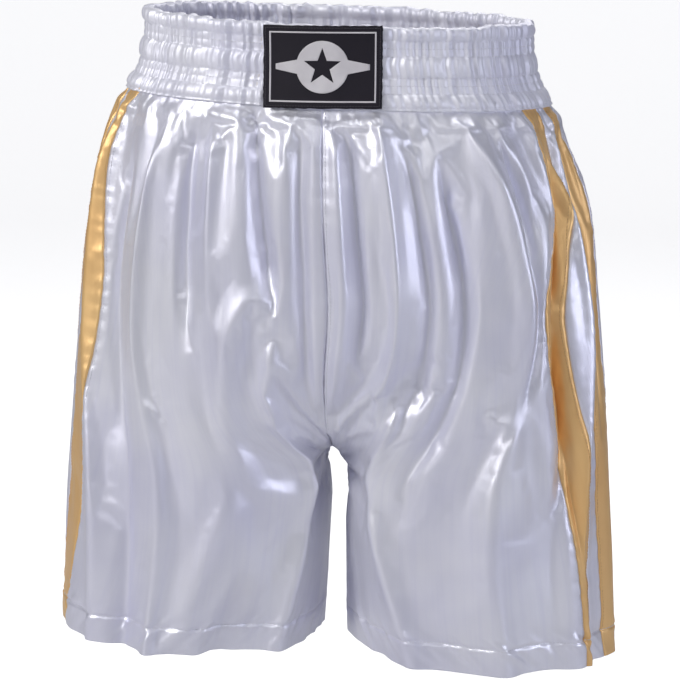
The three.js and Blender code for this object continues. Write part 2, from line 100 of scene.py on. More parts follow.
class BodySizes(PropertyGroup):
    seam_z: length("Waist seam", frame_value("waistband_casing", 0, 2), "Height of the seam", -1.0)
    hem_z: length("Hem", frame_value("front_left_panel", 0, 2), "Height of the hem", -1.0)
    crotch_z: length("Crotch", -0.330, "Height of the crotch point", -1.0)
    waist_width: length("Waist half width", 0.147, "Half width at the top edge")
    waist_depth: length("Waist half depth", 0.100, "Half depth at the top edge")
    flare_width: length("Band flare, width", 0.016, "Growth of the half width over the band")
    flare_depth: length("Band flare, depth", 0.004, "Growth of the half depth over the band")
    puff_width: length("Hip puff, width", 0.027, "Growth where the gathers open")
    puff_depth: length("Hip puff, depth", 0.012, "Growth where the gathers open")
    puff_reach: length("Puff reach", 0.047, "Depth over which the gathers open")
    hem_flare_width: length("Hem flare, width", 0.029, "Slow growth down to the hem")
    hem_flare_depth: length("Hem flare, depth", 0.002, "Slow growth down to the hem")
    rise_curve: length("Rise curve", 0.105, "Height over which the rise seam turns under")
    leg_flatness: share("Leg flatness", 0.84, "Depth of a leg loop against the hips")
    blend_above: length("Leg blend above", 0.140, "Where the hips turn into legs")
    blend_below: length("Leg blend below", 0.090, "Where the hips turn into legs")
    crotch_spread: length("Crotch spread", 0.003, "Gap between the inseams at the crotch")
    leg_spread: length("Leg spread", 0.027, "Gap between the inseams at the hem")
    hem_height: length("Hem height", 0.022, "Height of the turned-up cloth")
    gold_width: length("Gold width", 0.030, "Width of one gold strip")
    white_width: length("White width", 0.017, "Width of the white strip")
    stripe_forward: length("Stripe forward", 0.017, "Middle of the stripe before the side")
    left_turn: length("Left turn", 0.036, "How far the left stripe hangs forward")
    right_turn: length("Right turn", 0.019, "How far the right stripe hangs back at the hem")
    gather_share: share("Gathered width", 0.62, "Width of the stripe at the band against its cut")
    hang_slope: share("Hang slope", 0.034, "Drop to the wearer's left for one unit across")
    pleat: length("Pleat", 0.013, "Gold cloth that the left front panel covers")
    pleat_depth: length("Pleat depth", 0.009, "Depth of the valley in that cloth")
    cloth: length("Cloth", 0.0006, "Thickness of the satin")


class BandSizes(PropertyGroup):
    high_rows: length("High rows", 0.016, "Middle row of the upper three below the top edge")
    low_rows: length("Low rows", 0.018, "Middle row of the lower three above the lower edge")
    row_pitch: length("Row pitch", 0.0058, "Distance between two rows of a group")
    seam_rise: length("Seam rise", 0.0024, "Waist seam stitching above the lower edge")
    wide_puff: length("Wide puff", 0.0020, "How far the satin stands out between the groups")
    small_puff: length("Small puff", 0.00018, "How far it stands out between two rows")
    casing_depth: length("Casing depth", 0.0062, "From the outer to the inner face")
    elastic_inset: length("Elastic inset", 0.0018, "Elastic behind the outer face")
    elastic_thickness: length("Elastic thickness", 0.0015, "Thickness of the elastic")


class DrapeSettings(PropertyGroup):
    wearer_inset: length("Wearer inset", 0.014, "Wearer's surface inside the plain body")
    frames: IntProperty(name="Frames", default=14, min=1, description="Length of the simulation")
    mass: share("Mass", 0.0015, "Mass of one point of the sheet, in kilograms")
    stretch: share("Stretch", 30.0, "Resistance to stretching", 0.0, 1000.0)
    bend: share("Bend", 0.4, "Resistance to bending")
    spare: share("Spare cloth", 0.018, "How much larger the sheet is than its place")


class SewingSizes(PropertyGroup):
    thread_width: length("Thread width", 0.00055, "Width of a stitch")
    thread_height: length("Thread height", 0.00045, "Height of a stitch")
    stitch_pitch: length("Stitch pitch", 0.0028, "Length of a stitch on seams and hems")
    band_pitch: length("Band pitch", 0.0030, "Length of a stitch on the waistband")
    badge_pitch: length("Badge pitch", 0.0022, "Length of a stitch round the badge")
    stitch_share: share("Stitch share", 0.86, "Share of the pitch that shows as thread")
    side_offset: length("Side offset", 0.002, "Topstitching beside a seam")


class BadgeSizes(PropertyGroup):
    width: length("Width", 0.086, "Width of the badge")
    height: length("Height", 0.060, "Height of the badge")
    thickness: length("Thickness", 0.0009, "Thickness of the weave")
    top_margin: length("Top margin", 0.0006, "Below the top edge of the band")
    lift: length("Lift", 0.0023, "Off the band's oval, over its puffs")
    border_inset: length("Border inset", 0.005, "From the edge to the border")
    border_width: length("Border width", 0.0012, "Width of the border")
    print_height: length("Raised weave", 0.0005, "Height of the border and the emblem")
    emblem_radius: length("Emblem radius", 0.019, "Radius of the disc")
    emblem_reach: length("Emblem reach", 0.034, "Half width with the bars")
    bar_root: length("Bar root", 0.005, "Half height of a bar at the disc")
    bar_tip: length("Bar tip", 0.002, "Half height of a bar at its end")
    star_radius: length("Star radius", 0.014, "Radius of the star's points")
    star_waist: length("Star waist", 0.0056, "Radius of its inner corners")
    stitch_inset: length("Stitch inset", 0.0018, "From the edge to the stitches")


class Finishes(PropertyGroup):
    white: colour("White satin", (0.87, 0.875, 0.95), "Satin where it is cleanest")
    # painted shade: the lilac tone that the white satin takes in random clouds and long streaks
    lilac_shade: colour("Lilac", (0.66, 0.66, 0.84), "Satin where it is cooler")
    soil: colour("Soil", (0.52, 0.48, 0.46), "Handling marks on white")
    gold: colour("Gold satin", (0.93, 0.61, 0.27), "Gold satin")
    # painted shade: the deeper tone that the gold satin takes in the same clouds and streaks
    bronze_shade: colour("Bronze", (0.78, 0.44, 0.16), "Deeper gold")
    umber: colour("Umber", (0.28, 0.12, 0.04), "Marks and shade on gold")
    thread: colour("Thread", (0.86, 0.86, 0.92), "White sewing thread")
    thread_shade: colour("Thread shade", (0.52, 0.52, 0.62), "Between its plies")
    black: colour("Black", (0.012, 0.010, 0.016), "Woven badge")
    # painted highlight: a slightly lighter black; the black thread is this colour on its plies, and the
    # badge weave takes it between its yarns
    black_highlight: colour("Ink", (0.020, 0.017, 0.026), "Highlights of the black yarn")
    pale: colour("Pale yarn", (0.78, 0.76, 0.78), "Woven border and emblem")
    pale_shade: colour("Pale yarn shade", (0.42, 0.40, 0.44), "Between its yarns")


class StageSettings(PropertyGroup):
    distance: length("Camera distance", 2.176, "Level distance to the shorts", 0.0, 20.0)
    turn: FloatProperty(
        name="Camera turn", default=math.radians(6.6), subtype="ANGLE", description="Round to the right"
    )
    camera_height: length("Camera height", 0.165, "Above the waist edge", -5.0, 5.0)
    aim_height: length("Aim height", -0.252, "Height it looks at", -5.0, 5.0)
    view_angle: FloatProperty(
        name="View angle", default=math.radians(13.58), subtype="ANGLE", description="Field of view"
    )
    floor: length("Floor", -0.62, "Height of the floor", -5.0, 5.0)
    wall: length("Wall", 4.5, "Distance of the wall behind", 0.0, 20.0)
    bend: length("Bend", 1.5, "Radius between floor and wall", 0.0, 20.0)
    paper: colour("Paper", (0.72, 0.72, 0.74), "Backdrop")


class ShortsSettings(PropertyGroup):
    body: PointerProperty(type=BodySizes)
    band: PointerProperty(type=BandSizes)
    drape: PointerProperty(type=DrapeSettings)
    sewing: PointerProperty(type=SewingSizes)
    badge: PointerProperty(type=BadgeSizes)
    finishes: PointerProperty(type=Finishes)
    stage: PointerProperty(type=StageSettings)


def sizes():
    """The add-on's settings in this scene."""
    return bpy.context.scene.boxing_shorts


# ------------------------------------------------------------------ numbers


def smooth_step(x, low, high):
    """0 below low, 1 above high, and 3t^2 - 2t^3 between them."""
    t = np.clip((np.asarray(x, float) - low) / (high - low), 0.0, 1.0)
    return t * t * (3.0 - 2.0 * t)


def bump(x, middle, width):
    """A bell curve of height 1 at the middle."""
    return np.exp(-(((np.asarray(x, float) - middle) / width) ** 2))


def cubic_between(p, f):
    """The cubic through p[1] and p[2] with the slopes that p[0] and p[3] give."""
    return 0.5 * (
        2 * p[1]
        + (p[2] - p[0]) * f
        + (2 * p[0] - 5 * p[1] + 4 * p[2] - p[3]) * f**2
        + (3 * p[1] - p[0] - 3 * p[2] + p[3]) * f**3
    )


def wander(x, step, seed, period=None):
    """Smooth random values between -1 and 1: one value every step, joined by cubics.

    With a period, the values repeat after it, so that a ring closes."""
    x = np.asarray(x, float) / step
    count = 4096 if period is None else max(3, int(round(period / step)))
    if period is not None:
        x = x * (count * step / period)
    values = np.random.RandomState(seed).uniform(-1.0, 1.0, count)
    i = np.floor(x).astype(int)
    t = x - i
    return cubic_between([values[(i + k) % count] for k in (-1, 0, 1, 2)], t)


def unit(v):
    """Vectors divided by their lengths."""
    return v / np.maximum(np.linalg.norm(v, axis=-1, keepdims=True), 1e-12)


# ------------------------------------------------------------------ shape of the body


def half_size(z, waist, flare, puff, hem_flare):
    """Half size at height z. In the band it grows with the cube of the depth; below it the
    cloth opens as 1 - exp(-drop / reach) and then grows in proportion to the drop."""
    b = sizes().body
    band = waist + flare * np.clip(z / b.seam_z, 0.0, 1.0) ** 3
    drop = np.maximum(b.seam_z - z, 0.0)
    opened = puff * (1.0 - np.exp(-drop / b.puff_reach))
    return band + opened + hem_flare * drop / (b.seam_z - b.hem_z)


def half_width(z):
    """Half width of the body at height z."""
    b = sizes().body
    return half_size(z, b.waist_width, b.flare_width, b.puff_width, b.hem_flare_width)


def half_depth(z):
    """Half depth of the body at height z."""
    b = sizes().body
    return half_size(z, b.waist_depth, b.flare_depth, b.puff_depth, b.hem_flare_depth)


def torso_share(s, z):
    """How much of the hips' oval there is: a quarter ellipse at the centre seams and a
    smooth step at the side of the leg, mixed by the fourth power of the cosine."""
    b = sizes().body
    rise = np.clip((z - b.crotch_z) / b.rise_curve, 0.0, 1.0)
    seam = np.sqrt(1.0 - (1.0 - rise) ** 2)
    soft = smooth_step(z, b.crotch_z - b.blend_below, b.crotch_z + b.blend_above)
    mix = np.cos(np.pi * s) ** 4
    return soft * (1.0 - mix) + seam * mix


def inner_x(z):
    """Distance of the inseam from the centre plane, which grows evenly below the crotch."""
    b = sizes().body
    t = np.clip((b.crotch_z - z) / (b.crotch_z - b.hem_z), 0.0, None)
    gap = (b.crotch_spread + (b.leg_spread - b.crotch_spread) * t) / 2
    return np.where(z >= b.crotch_z, 0.0, gap)


def body_surface(side, s, z):
    """One half of the body at (s, z): half of the oval round the hips above the crotch and
    the whole loop round the leg below it, blended by torso_share."""
    a, d, inner = half_width(z), half_depth(z), inner_x(z)
    part = torso_share(s, z)
    hips_x, hips_y = a * np.sin(np.pi * s), -d * np.cos(np.pi * s)
    leg_x = (a + inner) / 2 - (a - inner) / 2 * np.cos(2 * np.pi * s)
    leg_y = -d * sizes().body.leg_flatness * np.sin(2 * np.pi * s)
    x = leg_x + (hips_x - leg_x) * part
    y = leg_y + (hips_y - leg_y) * part
    return np.stack([side * x, y, z + np.zeros_like(x)], -1)


def grid_normals(points, side=1.0):
    """Unit normals of a grid [z down, s round, 3], outwards for the half on that side."""
    across = np.gradient(points, axis=1)
    down = np.gradient(points, axis=0)
    return unit(np.cross(down, across)) * side


# ------------------------------------------------------------------ meshes


def grid_faces(rows, columns, wrap=False):
    """Quads of a grid of rows x columns points, closed round the columns if wrap."""
    spans = columns if wrap else columns - 1
    r, c = np.meshgrid(np.arange(rows - 1), np.arange(spans), indexing="ij")
    n = (c + 1) % columns
    quads = [r * columns + c, (r + 1) * columns + c, (r + 1) * columns + n, r * columns + n]
    return np.stack(quads, -1).reshape(-1, 4)


def askew(points):
    """The shorts hang lower on the wearer's left: z falls in proportion to x."""
    lower = sizes().body.hang_slope * points[:, 0]
    return (points - lower[:, None] * np.array([0.0, 0.0, 1.0])).astype(np.float32)


def new_piece(name, points, faces, uv=None, flip=False):
    """A smooth-shaded mesh object at the origin from an array of points and one of quads.
    uv holds one pair for each point."""
    faces = faces[:, ::-1] if flip else faces
    mesh = bpy.data.meshes.new(name)
    mesh.vertices.add(len(points))
    mesh.vertices.foreach_set("co", np.ascontiguousarray(points, np.float32).ravel())
    mesh.loops.add(faces.size)
    mesh.loops.foreach_set("vertex_index", faces.astype(np.int32).ravel())
    mesh.polygons.add(len(faces))
    starts = np.arange(0, faces.size, faces.shape[1], dtype=np.int32)
    mesh.polygons.foreach_set("loop_start", starts)
    mesh.update(calc_edges=True)
    mesh.validate()
    mesh.polygons.foreach_set("use_smooth", np.ones(len(mesh.polygons), bool))
    if uv is not None:
        layer = mesh.uv_layers.new(name="UVMap")
        layer.data.foreach_set("uv", uv[faces.ravel()].astype(np.float32).ravel())
    piece = bpy.data.objects.new(name, mesh)
    bpy.context.scene.collection.objects.link(piece)
    return piece


def grid_uv(points):
    """Metres along the columns and down the rows of a grid [rows, columns, 3]: the running
    sums of the steps, averaged so that the pattern stays square to the piece."""
    across = np.linalg.norm(np.diff(points, axis=1), axis=-1).mean(axis=0)
    down = np.linalg.norm(np.diff(points, axis=0), axis=-1).mean(axis=1)
    u = np.concatenate([[0.0], np.cumsum(across)])
    v = -np.concatenate([[0.0], np.cumsum(down)])
    return np.stack(np.meshgrid(u, v), -1).reshape(-1, 2)


def grid_piece(name, points, faces, flip=False):
    """A piece from a grid of points, with a UV map in metres."""
    return new_piece(name, points.reshape(-1, 3), faces, grid_uv(points), flip)


def ring_faces(points):
    """Quads of a grid that is closed round the columns, its last row joined to its first."""
    rows, columns = points.shape[:2]
    c = np.arange(columns)
    n = (c + 1) % columns
    last = (rows - 1) * columns
    rim = np.stack([last + c, c, n, last + n], -1)
    return np.concatenate([grid_faces(rows, columns, wrap=True), rim])


def thicken(piece, thickness):
    """Gives a sheet its thickness, towards the inside, and closes its rims."""
    wall = piece.modifiers.new("Cloth", "SOLIDIFY")
    wall.thickness = thickness
    wall.offset = -1.0
    wall.use_even_offset = False


def place(piece, node, slot, material):
    """Puts a finished piece on its body in place of its CAD node, with its finish."""
    piece.data.materials.append(material)
    if not node.startswith("badge"):
        points = np.empty(3 * len(piece.data.vertices), np.float32)
        piece.data.vertices.foreach_get("co", points)
        piece.data.vertices.foreach_set("co", askew(points.reshape(-1, 3)).ravel())
        piece.data.update()
    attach(piece, BODY)
    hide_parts(node)


# ------------------------------------------------------------------ gathered cloth

# The larger folds. A ridge has a height above 0 and a valley below 0, in millimetres. Each
# runs from (s, share of the depth) at its top to the same at its bottom, and has a width in s.
FOLDS = {
    "right": (
        (0.385, 0.00, 0.357, 1.00, 6.0, 0.026),
        (0.310, 0.04, 0.320, 1.00, -6.0, 0.024),
        (0.245, 0.00, 0.281, 1.00, 6.5, 0.022),
        (0.193, 0.02, 0.177, 0.42, -6.0, 0.020),
        (0.150, 0.03, 0.140, 0.42, 5.0, 0.020),
        (0.105, -0.04, 0.061, 0.36, -9.0, 0.018),
        (0.085, 0.30, 0.278, 1.05, 8.0, 0.050),
        (0.060, 0.40, 0.134, 1.00, 6.0, 0.022),
        (0.031, 0.00, 0.020, 0.55, -5.0, 0.014),
        (0.450, 0.02, 0.440, 0.70, -4.0, 0.022),
        (0.620, 0.02, 0.600, 1.00, 6.0, 0.026),
        (0.690, 0.00, 0.680, 0.60, -6.0, 0.022),
        (0.770, 0.02, 0.740, 1.00, 7.0, 0.030),
        (0.850, 0.00, 0.880, 0.60, -7.0, 0.022),
        (0.910, 0.02, 0.860, 1.00, 6.0, 0.030),
        (0.965, 0.00, 0.975, 0.55, 5.0, 0.016),
    ),
    "left": (
        (0.015, 0.00, 0.014, 0.55, 6.0, 0.016),
        (0.034, 0.02, 0.036, 0.45, -5.0, 0.013),
        (0.079, -0.04, 0.076, 0.58, 8.0, 0.018),
        (0.105, 0.04, 0.118, 0.62, -5.0, 0.014),
        (0.148, 0.06, 0.165, 0.72, -9.0, 0.022),
        (0.095, 0.50, 0.184, 1.00, 7.0, 0.028),
        (0.204, -0.02, 0.271, 1.00, 9.0, 0.032),
        (0.248, 0.04, 0.244, 0.55, -8.0, 0.018),
        (0.330, 0.04, 0.325, 0.90, -6.0, 0.024),
        (0.385, 0.02, 0.375, 1.00, 8.0, 0.024),
        (0.440, 0.02, 0.430, 0.60, -4.0, 0.018),
        (0.610, 0.00, 0.620, 1.00, 7.0, 0.028),
        (0.680, 0.02, 0.700, 0.70, -6.0, 0.022),
        (0.750, 0.00, 0.760, 1.00, 7.0, 0.028),
        (0.830, 0.02, 0.850, 0.60, -7.0, 0.022),
        (0.895, 0.00, 0.850, 1.00, 6.0, 0.028),
        (0.955, 0.02, 0.965, 0.50, -4.0, 0.014),
    ),
}

# Sets of gathers: width of a wave and height in mm, middle and reach of the drop in metres
GATHERS = (
    (6.5, 1.6, 0.000, 0.022),
    (11.0, 2.6, 0.022, 0.050),
    (22.0, 3.0, 0.070, 0.100),
    (48.0, 3.2, 0.200, 0.200),
    (90.0, 3.0, 0.400, 0.260),
)

GRID_ROWS = 106
GRID_COLUMNS = 168


def fold_height(leg, s, z):
    """Sum of the larger folds of one leg: each is a bell across a line that runs straight
    in (s, z), and fades in and out at the ends that don't reach the seam or the hem."""
    b = sizes().body
    depth = (b.seam_z - z) / (b.seam_z - b.hem_z)
    total = np.zeros_like(s + z)
    for s_top, top, s_low, low, height, width in FOLDS[leg]:
        along = (depth - top) / (low - top)
        middle = s_top + (s_low - s_top) * np.clip(along, 0.0, 1.1)
        fade_in = smooth_step(along, 0.0, 0.15)
        fade_out = 1.0 - (smooth_step(along, 0.75, 1.1) if low < 0.95 else 0.0)
        shape = 0.7 * bump(s, middle, 0.8 * width) + 0.45 * bump(s, middle, 0.38 * width)
        total += 1.25 * height * MM * fade_in * fade_out * shape
    return total


def gather_height(leg, s, z):
    """Gathers that open downwards: sets of random waves, each about twice as wide as the
    one before and strongest lower down. s is turned into millimetres of the half round."""
    b = sizes().body
    drop = np.maximum(b.seam_z - z, 0.0)
    seed = 10 if leg == "left" else 20
    total = np.zeros_like(s + z)
    for k, (wave, high, middle, reach) in enumerate(GATHERS):
        strength = bump(drop, middle, reach)
        sway = 0.35 * wave * wander(drop / MM, 4 * wave, seed + 5 + k)
        total += high * MM * strength * wander(GATHER_ROUND * s + sway, wave, seed + k)
    return total


def drag_height(leg, s, z):
    """Short taut lines that fan out from the crotch over the inner thigh: waves of the
    angle round the crotch point, on the sheet laid flat, which fade away from it."""
    b = sizes().body
    side = np.where(s < 0.5, s, 1.0 - s)
    x, y = side * 0.62, z - b.crotch_z
    angle = np.arctan2(y, x + 0.004)
    away = np.hypot(x, y)
    strength = smooth_step(away, 0.008, 0.04) * (1.0 - smooth_step(away, 0.07, 0.19))
    lean = bump(angle, -0.75, 0.55) + 0.6 * bump(angle, 0.95, 0.5)
    seed = 31 if leg == "left" else 32
    return 3.6 * MM * strength * lean * wander(angle, 0.16, seed)


def near_crotch(s, z):
    """0 at the inseam and round the crotch point, 1 elsewhere."""
    b = sizes().body
    edge = np.minimum(s, 1.0 - s)
    below = 1.0 - smooth_step(z, b.crotch_z - 0.01, b.crotch_z + 0.09)
    return 1.0 - below * (1.0 - smooth_step(edge, 0.005, 0.11))


def both_halves(height, leg, s, z):
    """A height field that both halves share at the centre seams: within about a centimetre
    of them it turns into the mean of the two legs' fields."""
    other = "left" if leg == "right" else "right"
    meet = 0.5 * (bump(s, 0.0, 0.012) + bump(s, 1.0, 0.012))
    return height(leg, s, z) * (1.0 - meet) + height(other, s, z) * meet


def pleated(leg, s, z):
    """s of the place that each part of the cloth hangs at: on the left, the edge of the front
    panel is carried outwards over the front gold strip, by an amount that rises over the
    panel from nothing, is whole at its edge and is used up across the gold."""
    if leg != "left":
        return s
    b = sizes().body
    ahead = ahead_of_seam(leg, 0, s, z)
    shift = smooth_step(ahead, -0.85 * b.gold_width, 0.0) * (1.0 - smooth_step(ahead, 0.01, 0.13))
    depth = smooth_step(b.seam_z - z, 0.0, 0.08)
    return s + b.pleat * shift * depth / side_pace(z)


def pleat_height(leg, s, z):
    """The roll of the panel's edge and the valley in the gold that it covers."""
    if leg != "left":
        return 0.0 * (s + z)
    b = sizes().body
    ahead = ahead_of_seam(leg, 0, s, z)
    depth = smooth_step(b.seam_z - z, 0.0, 0.05)
    roll = 0.5 * bump(ahead, 0.009, 0.010) + 0.6 * bump(ahead, -0.063, 0.014)
    return b.pleat_depth * depth * (roll - 0.8 * bump(ahead, -0.014, 0.010))


def softened(base, s):
    """The cloth can't follow the sharp turn under the crotch: away from the centre seams
    each column is averaged over a few centimetres of its height."""
    reach = np.arange(-9, 10)
    weights = np.exp(-((reach / 5.0) ** 2))
    padded = np.concatenate([2 * base[:1] - base[9:0:-1], base, 2 * base[-1:] - base[-2:-11:-1]])
    blurred = sum(w * padded[k : k + len(base)] for k, w in enumerate(weights)) / weights.sum()
    edge = np.minimum(s, 1.0 - s)
    return base + (blurred - base) * smooth_step(edge, 0.015, 0.09)[..., None]


def drape_grid():
    """s and z over the grid that is draped."""
    b = sizes().body
    z = np.linspace(b.seam_z, b.hem_z, GRID_ROWS)
    return np.meshgrid(np.linspace(0.0, 1.0, GRID_COLUMNS + 1), z)


def gathered_cloth(leg):
    """The grid [z down, s round, 3] of one half before it is draped."""
    b = sizes().body
    s, z = drape_grid()
    base = softened(body_surface(SIDES[leg], pleated(leg, s, z), z), s)
    normals = grid_normals(base, SIDES[leg])
    fields = (fold_height, gather_height, drag_height, pleat_height)
    height = sum(both_halves(f, leg, s, z) for f in fields) * near_crotch(s, z)
    # at the band the cloth is held just under the casing
    held = 1.0 - smooth_step(b.seam_z - z, 0.0, 0.012)
    height = height * (1.0 - 0.8 * held) - 2.3 * MM * held
    return base + normals * height[..., None]


def plain_body(leg, inset):
    """The body surface of one half on the draping grid, moved inwards by an inset."""
    base = body_surface(SIDES[leg], *drape_grid())
    return base - inset * grid_normals(base, SIDES[leg])


def sewn_grids():
    """(first, back, faces) that join the two halves' grids into one sheet: points that lie
    together on the plain body become one. first picks the sheet's points from the grids',
    back spreads them over the grids again."""
    base = np.concatenate([plain_body(leg, 0.0).reshape(-1, 3) for leg in SIDES])
    cells = np.round(base / (0.1 * MM)).astype(int)
    _, first, back = np.unique(cells, axis=0, return_index=True, return_inverse=True)
    back = back.ravel()
    quads = grid_faces(GRID_ROWS, GRID_COLUMNS + 1)
    both = np.concatenate([quads, quads[:, ::-1] + GRID_ROWS * (GRID_COLUMNS + 1)])
    return first, back, back[both]


def wearer(first, faces):
    """What the cloth hangs on: a body a little inside the plain surface."""
    d = sizes().drape
    points = np.concatenate([plain_body(leg, d.wearer_inset).reshape(-1, 3) for leg in SIDES])
    body = new_piece("wearer", points[first], faces)
    body.modifiers.new("Collision", "COLLISION")
    body.collision.thickness_outer = 0.002
    body.collision.cloth_friction = 15.0
    return body


def hanging_cloth(points, faces, held):
    """The sheet with Blender's cloth on it: light satin, held at its top edge, cut a little
    larger than its place, so that it crumples as it settles."""
    d = sizes().drape
    cloth = new_piece("hanging_cloth", points, faces)
    cloth.vertex_groups.new(name="Held").add(held.tolist(), 1.0, "REPLACE")
    modifier = cloth.modifiers.new("Cloth", "CLOTH")
    satin = modifier.settings
    satin.quality = 5
    satin.mass = d.mass
    satin.tension_stiffness = satin.compression_stiffness = d.stretch
    satin.shear_stiffness = 4.0
    satin.bending_stiffness = d.bend
    satin.bending_damping = 0.3
    satin.air_damping = 2.0
    satin.vertex_group_mass = "Held"
    satin.shrink_min = -d.spare
    modifier.collision_settings.distance_min = 0.002
    modifier.collision_settings.use_self_collision = False
    modifier.point_cache.frame_end = d.frames
    return cloth


def settled(cloth):
    """The sheet's points after the simulation's last frame."""
    scene = bpy.context.scene
    for frame_number in range(1, sizes().drape.frames + 1):
        scene.frame_set(frame_number)
    result = cloth.evaluated_get(bpy.context.evaluated_depsgraph_get()).to_mesh()
    points = np.empty(3 * len(result.vertices), np.float32)
    result.vertices.foreach_get("co", points)
    scene.frame_set(1)
    return points.reshape(-1, 3).astype(float)


def lifted(hung, start):
    """The hung grids with their sag taken up: each row rises by its own mean sag, and near
    the centre seams and the inseams by the mean sag there."""
    sag = (hung - start)[..., 2]
    edge = 12
    beside = (sag[:, :, :edge].mean(axis=(0, 2)) + sag[:, :, -edge:].mean(axis=(0, 2))) / 2
    s = np.linspace(0.0, 1.0, sag.shape[2])
    near = 1.0 - smooth_step(np.minimum(s, 1.0 - s), 0.02, 0.16)
    taken = sag.mean(axis=(0, 2))[:, None] * (1.0 - near) + beside[:, None] * near
    hung = hung.copy()
    hung[..., 2] -= taken
    return hung


@functools.lru_cache(maxsize=None)
def draped_cloth():
    """{leg: grid of points} of the body of the shorts: the gathered sheet, hung on the
    wearer for a short simulation."""
    gathered = {leg: gathered_cloth(leg) for leg in SIDES}
    first, back, faces = sewn_grids()
    start = np.concatenate([grid.reshape(-1, 3) for grid in gathered.values()])[first]
    columns = GRID_COLUMNS + 1
    top = np.arange(2 * columns)
    held = np.unique(back[np.concatenate([top, top + GRID_ROWS * columns])])
    body = wearer(first, faces)
    cloth = hanging_cloth(start, faces, held)
    hung = settled(cloth)[back].reshape(2, GRID_ROWS, columns, 3)
    hung = lifted(hung, np.stack(list(gathered.values())))
    for helper in (cloth, body):
        mesh = helper.data
        bpy.data.objects.remove(helper)
        bpy.data.meshes.remove(mesh)
    return dict(zip(SIDES, hung))


def cubic(values, t, axis):
    """An array at fractional positions t along an axis, by cubics through its values."""
    values = np.moveaxis(values, axis, 0)
    last = len(values) - 1
    i = np.clip(np.floor(t).astype(int), 0, last - 1)
    f = (t - i).reshape((-1,) + (1,) * (values.ndim - 1))
    p = [values[np.clip(i + k, 0, last)] for k in (-1, 0, 1, 2)]
    return np.moveaxis(cubic_between(p, f), 0, axis)


def cloth_at(leg, s, z):
    """Points of the draped cloth at a grid of s and z, where z is the same along each row:
    cubics down the columns of the draped grid, then along its rows."""
    b = sizes().body
    down = (b.seam_z - z[:, 0]) / (b.seam_z - b.hem_z) * (GRID_ROWS - 1)
    rows = cubic(draped_cloth()[leg], down, 0)
    t = s * GRID_COLUMNS
    i = np.clip(np.floor(t).astype(int), 0, GRID_COLUMNS - 1)
    f = (t - i)[..., None]
    picks = [np.clip(i + k, 0, GRID_COLUMNS) for k in (-1, 0, 1, 2)]
    p = [np.take_along_axis(rows, k[..., None], axis=1) for k in picks]
    return cubic_between(p, f)


# ------------------------------------------------------------------ sewing detail


def side_pace(z):
    """Metres of cloth for one unit of s at the side of the leg."""
    part = torso_share(0.5, z)
    depth = half_depth(z)
    return np.pi * depth * (part + 2 * sizes().body.leg_flatness * (1 - part))


def seam_forward(leg, k, z):
    """How far seam k of a side stripe lies in front of the side of the leg, in metres of
    cloth. The four seams are counted from the front. They draw together where the stripe is
    gathered into the band, and the shorts hang twisted, so the left stripe comes forward and
    the right one goes back near its hem."""
    b = sizes().body
    drop = b.seam_z - z
    steps = (0.0, b.gold_width, b.gold_width + b.white_width, 2 * b.gold_width + b.white_width)
    flat = b.stripe_forward + b.white_width / 2 + b.gold_width - steps[k]
    if leg == "left":
        turned = b.left_turn * (0.75 + 0.25 * smooth_step(drop, 0.05, 0.20))
        turned = turned * (1.0 - 0.15 * smooth_step(drop, 0.27, 0.42))
        gathered = b.gather_share
    else:
        turned = b.right_turn * (0.35 * bump(drop, 0.25, 0.12) - smooth_step(drop, 0.33, 0.45))
        gathered = 1.0 - (1.0 - b.gather_share) / 2
    drawn_in = gathered + (1.0 - gathered) * smooth_step(drop, 0.0, 0.16)
    return (flat + turned) * drawn_in


def ahead_of_seam(leg, k, s, z):
    """How far (s, z) lies in front of seam k of the stripe, in metres of cloth."""
    return (0.5 - s) * side_pace(z) - seam_forward(leg, k, z)


def stripe_seam(leg, k, offset=0.0):
    """s of seam k of the stripe, or of a line beside it, as a function of z."""
    return lambda z: 0.5 - (seam_forward(leg, k, z) + offset) / side_pace(z)


def pucker(distance, along, seed):
    """The cloth beside a row of stitches: a narrow valley on the seam, and short waves
    across it that fade over a few millimetres."""
    valley = -0.55 * bump(distance, 0.0, 0.0011)
    waves = wander(along / MM, 3.9, seed) * bump(distance, 0.0, 0.0055)
    return (valley + 0.38 * waves) * MM


def sewing_height(leg, s, z):
    """All seams and hems of one leg: puckers along the four lines of the stripe, along the
    centre seams and the inseam, and the hem with its step, its stitched valley and the
    slanting ripples that the turned-up cloth makes."""
    b = sizes().body
    seed = 100 if leg == "left" else 200
    total = np.zeros_like(s + z)
    for k in range(4):
        total += pucker(ahead_of_seam(leg, k, s, z), z, seed + k)
    edge = np.minimum(s, 1.0 - s) * 2 * np.pi * half_depth(z) * b.leg_flatness
    total += 0.6 * pucker(edge, z, 7)
    stitch_z = b.hem_z + b.hem_height - HEM_STITCH_DROP
    above = z - stitch_z
    round_mm = s * HEM_ROUND
    slant = round_mm + above / MM * 0.9
    ripples = wander(slant, 5.2, seed + 11, HEM_ROUND) + 0.6 * wander(slant, 11.0, seed + 12, HEM_ROUND)
    reach = np.where(above < 0, 0.016, 0.008)
    total += 1.15 * MM * ripples * np.exp(-((above / reach) ** 2))
    total += 0.5 * MM * (1.0 - smooth_step(above, -0.0005, 0.0012))
    total -= MM * bump(above, 0.0, 0.0011)
    waist = np.maximum(b.seam_z - z, 0.0)
    total += 0.5 * MM * wander(GATHER_ROUND * s, 3.2, seed + 14) * bump(waist, 0.0, 0.012)
    return total


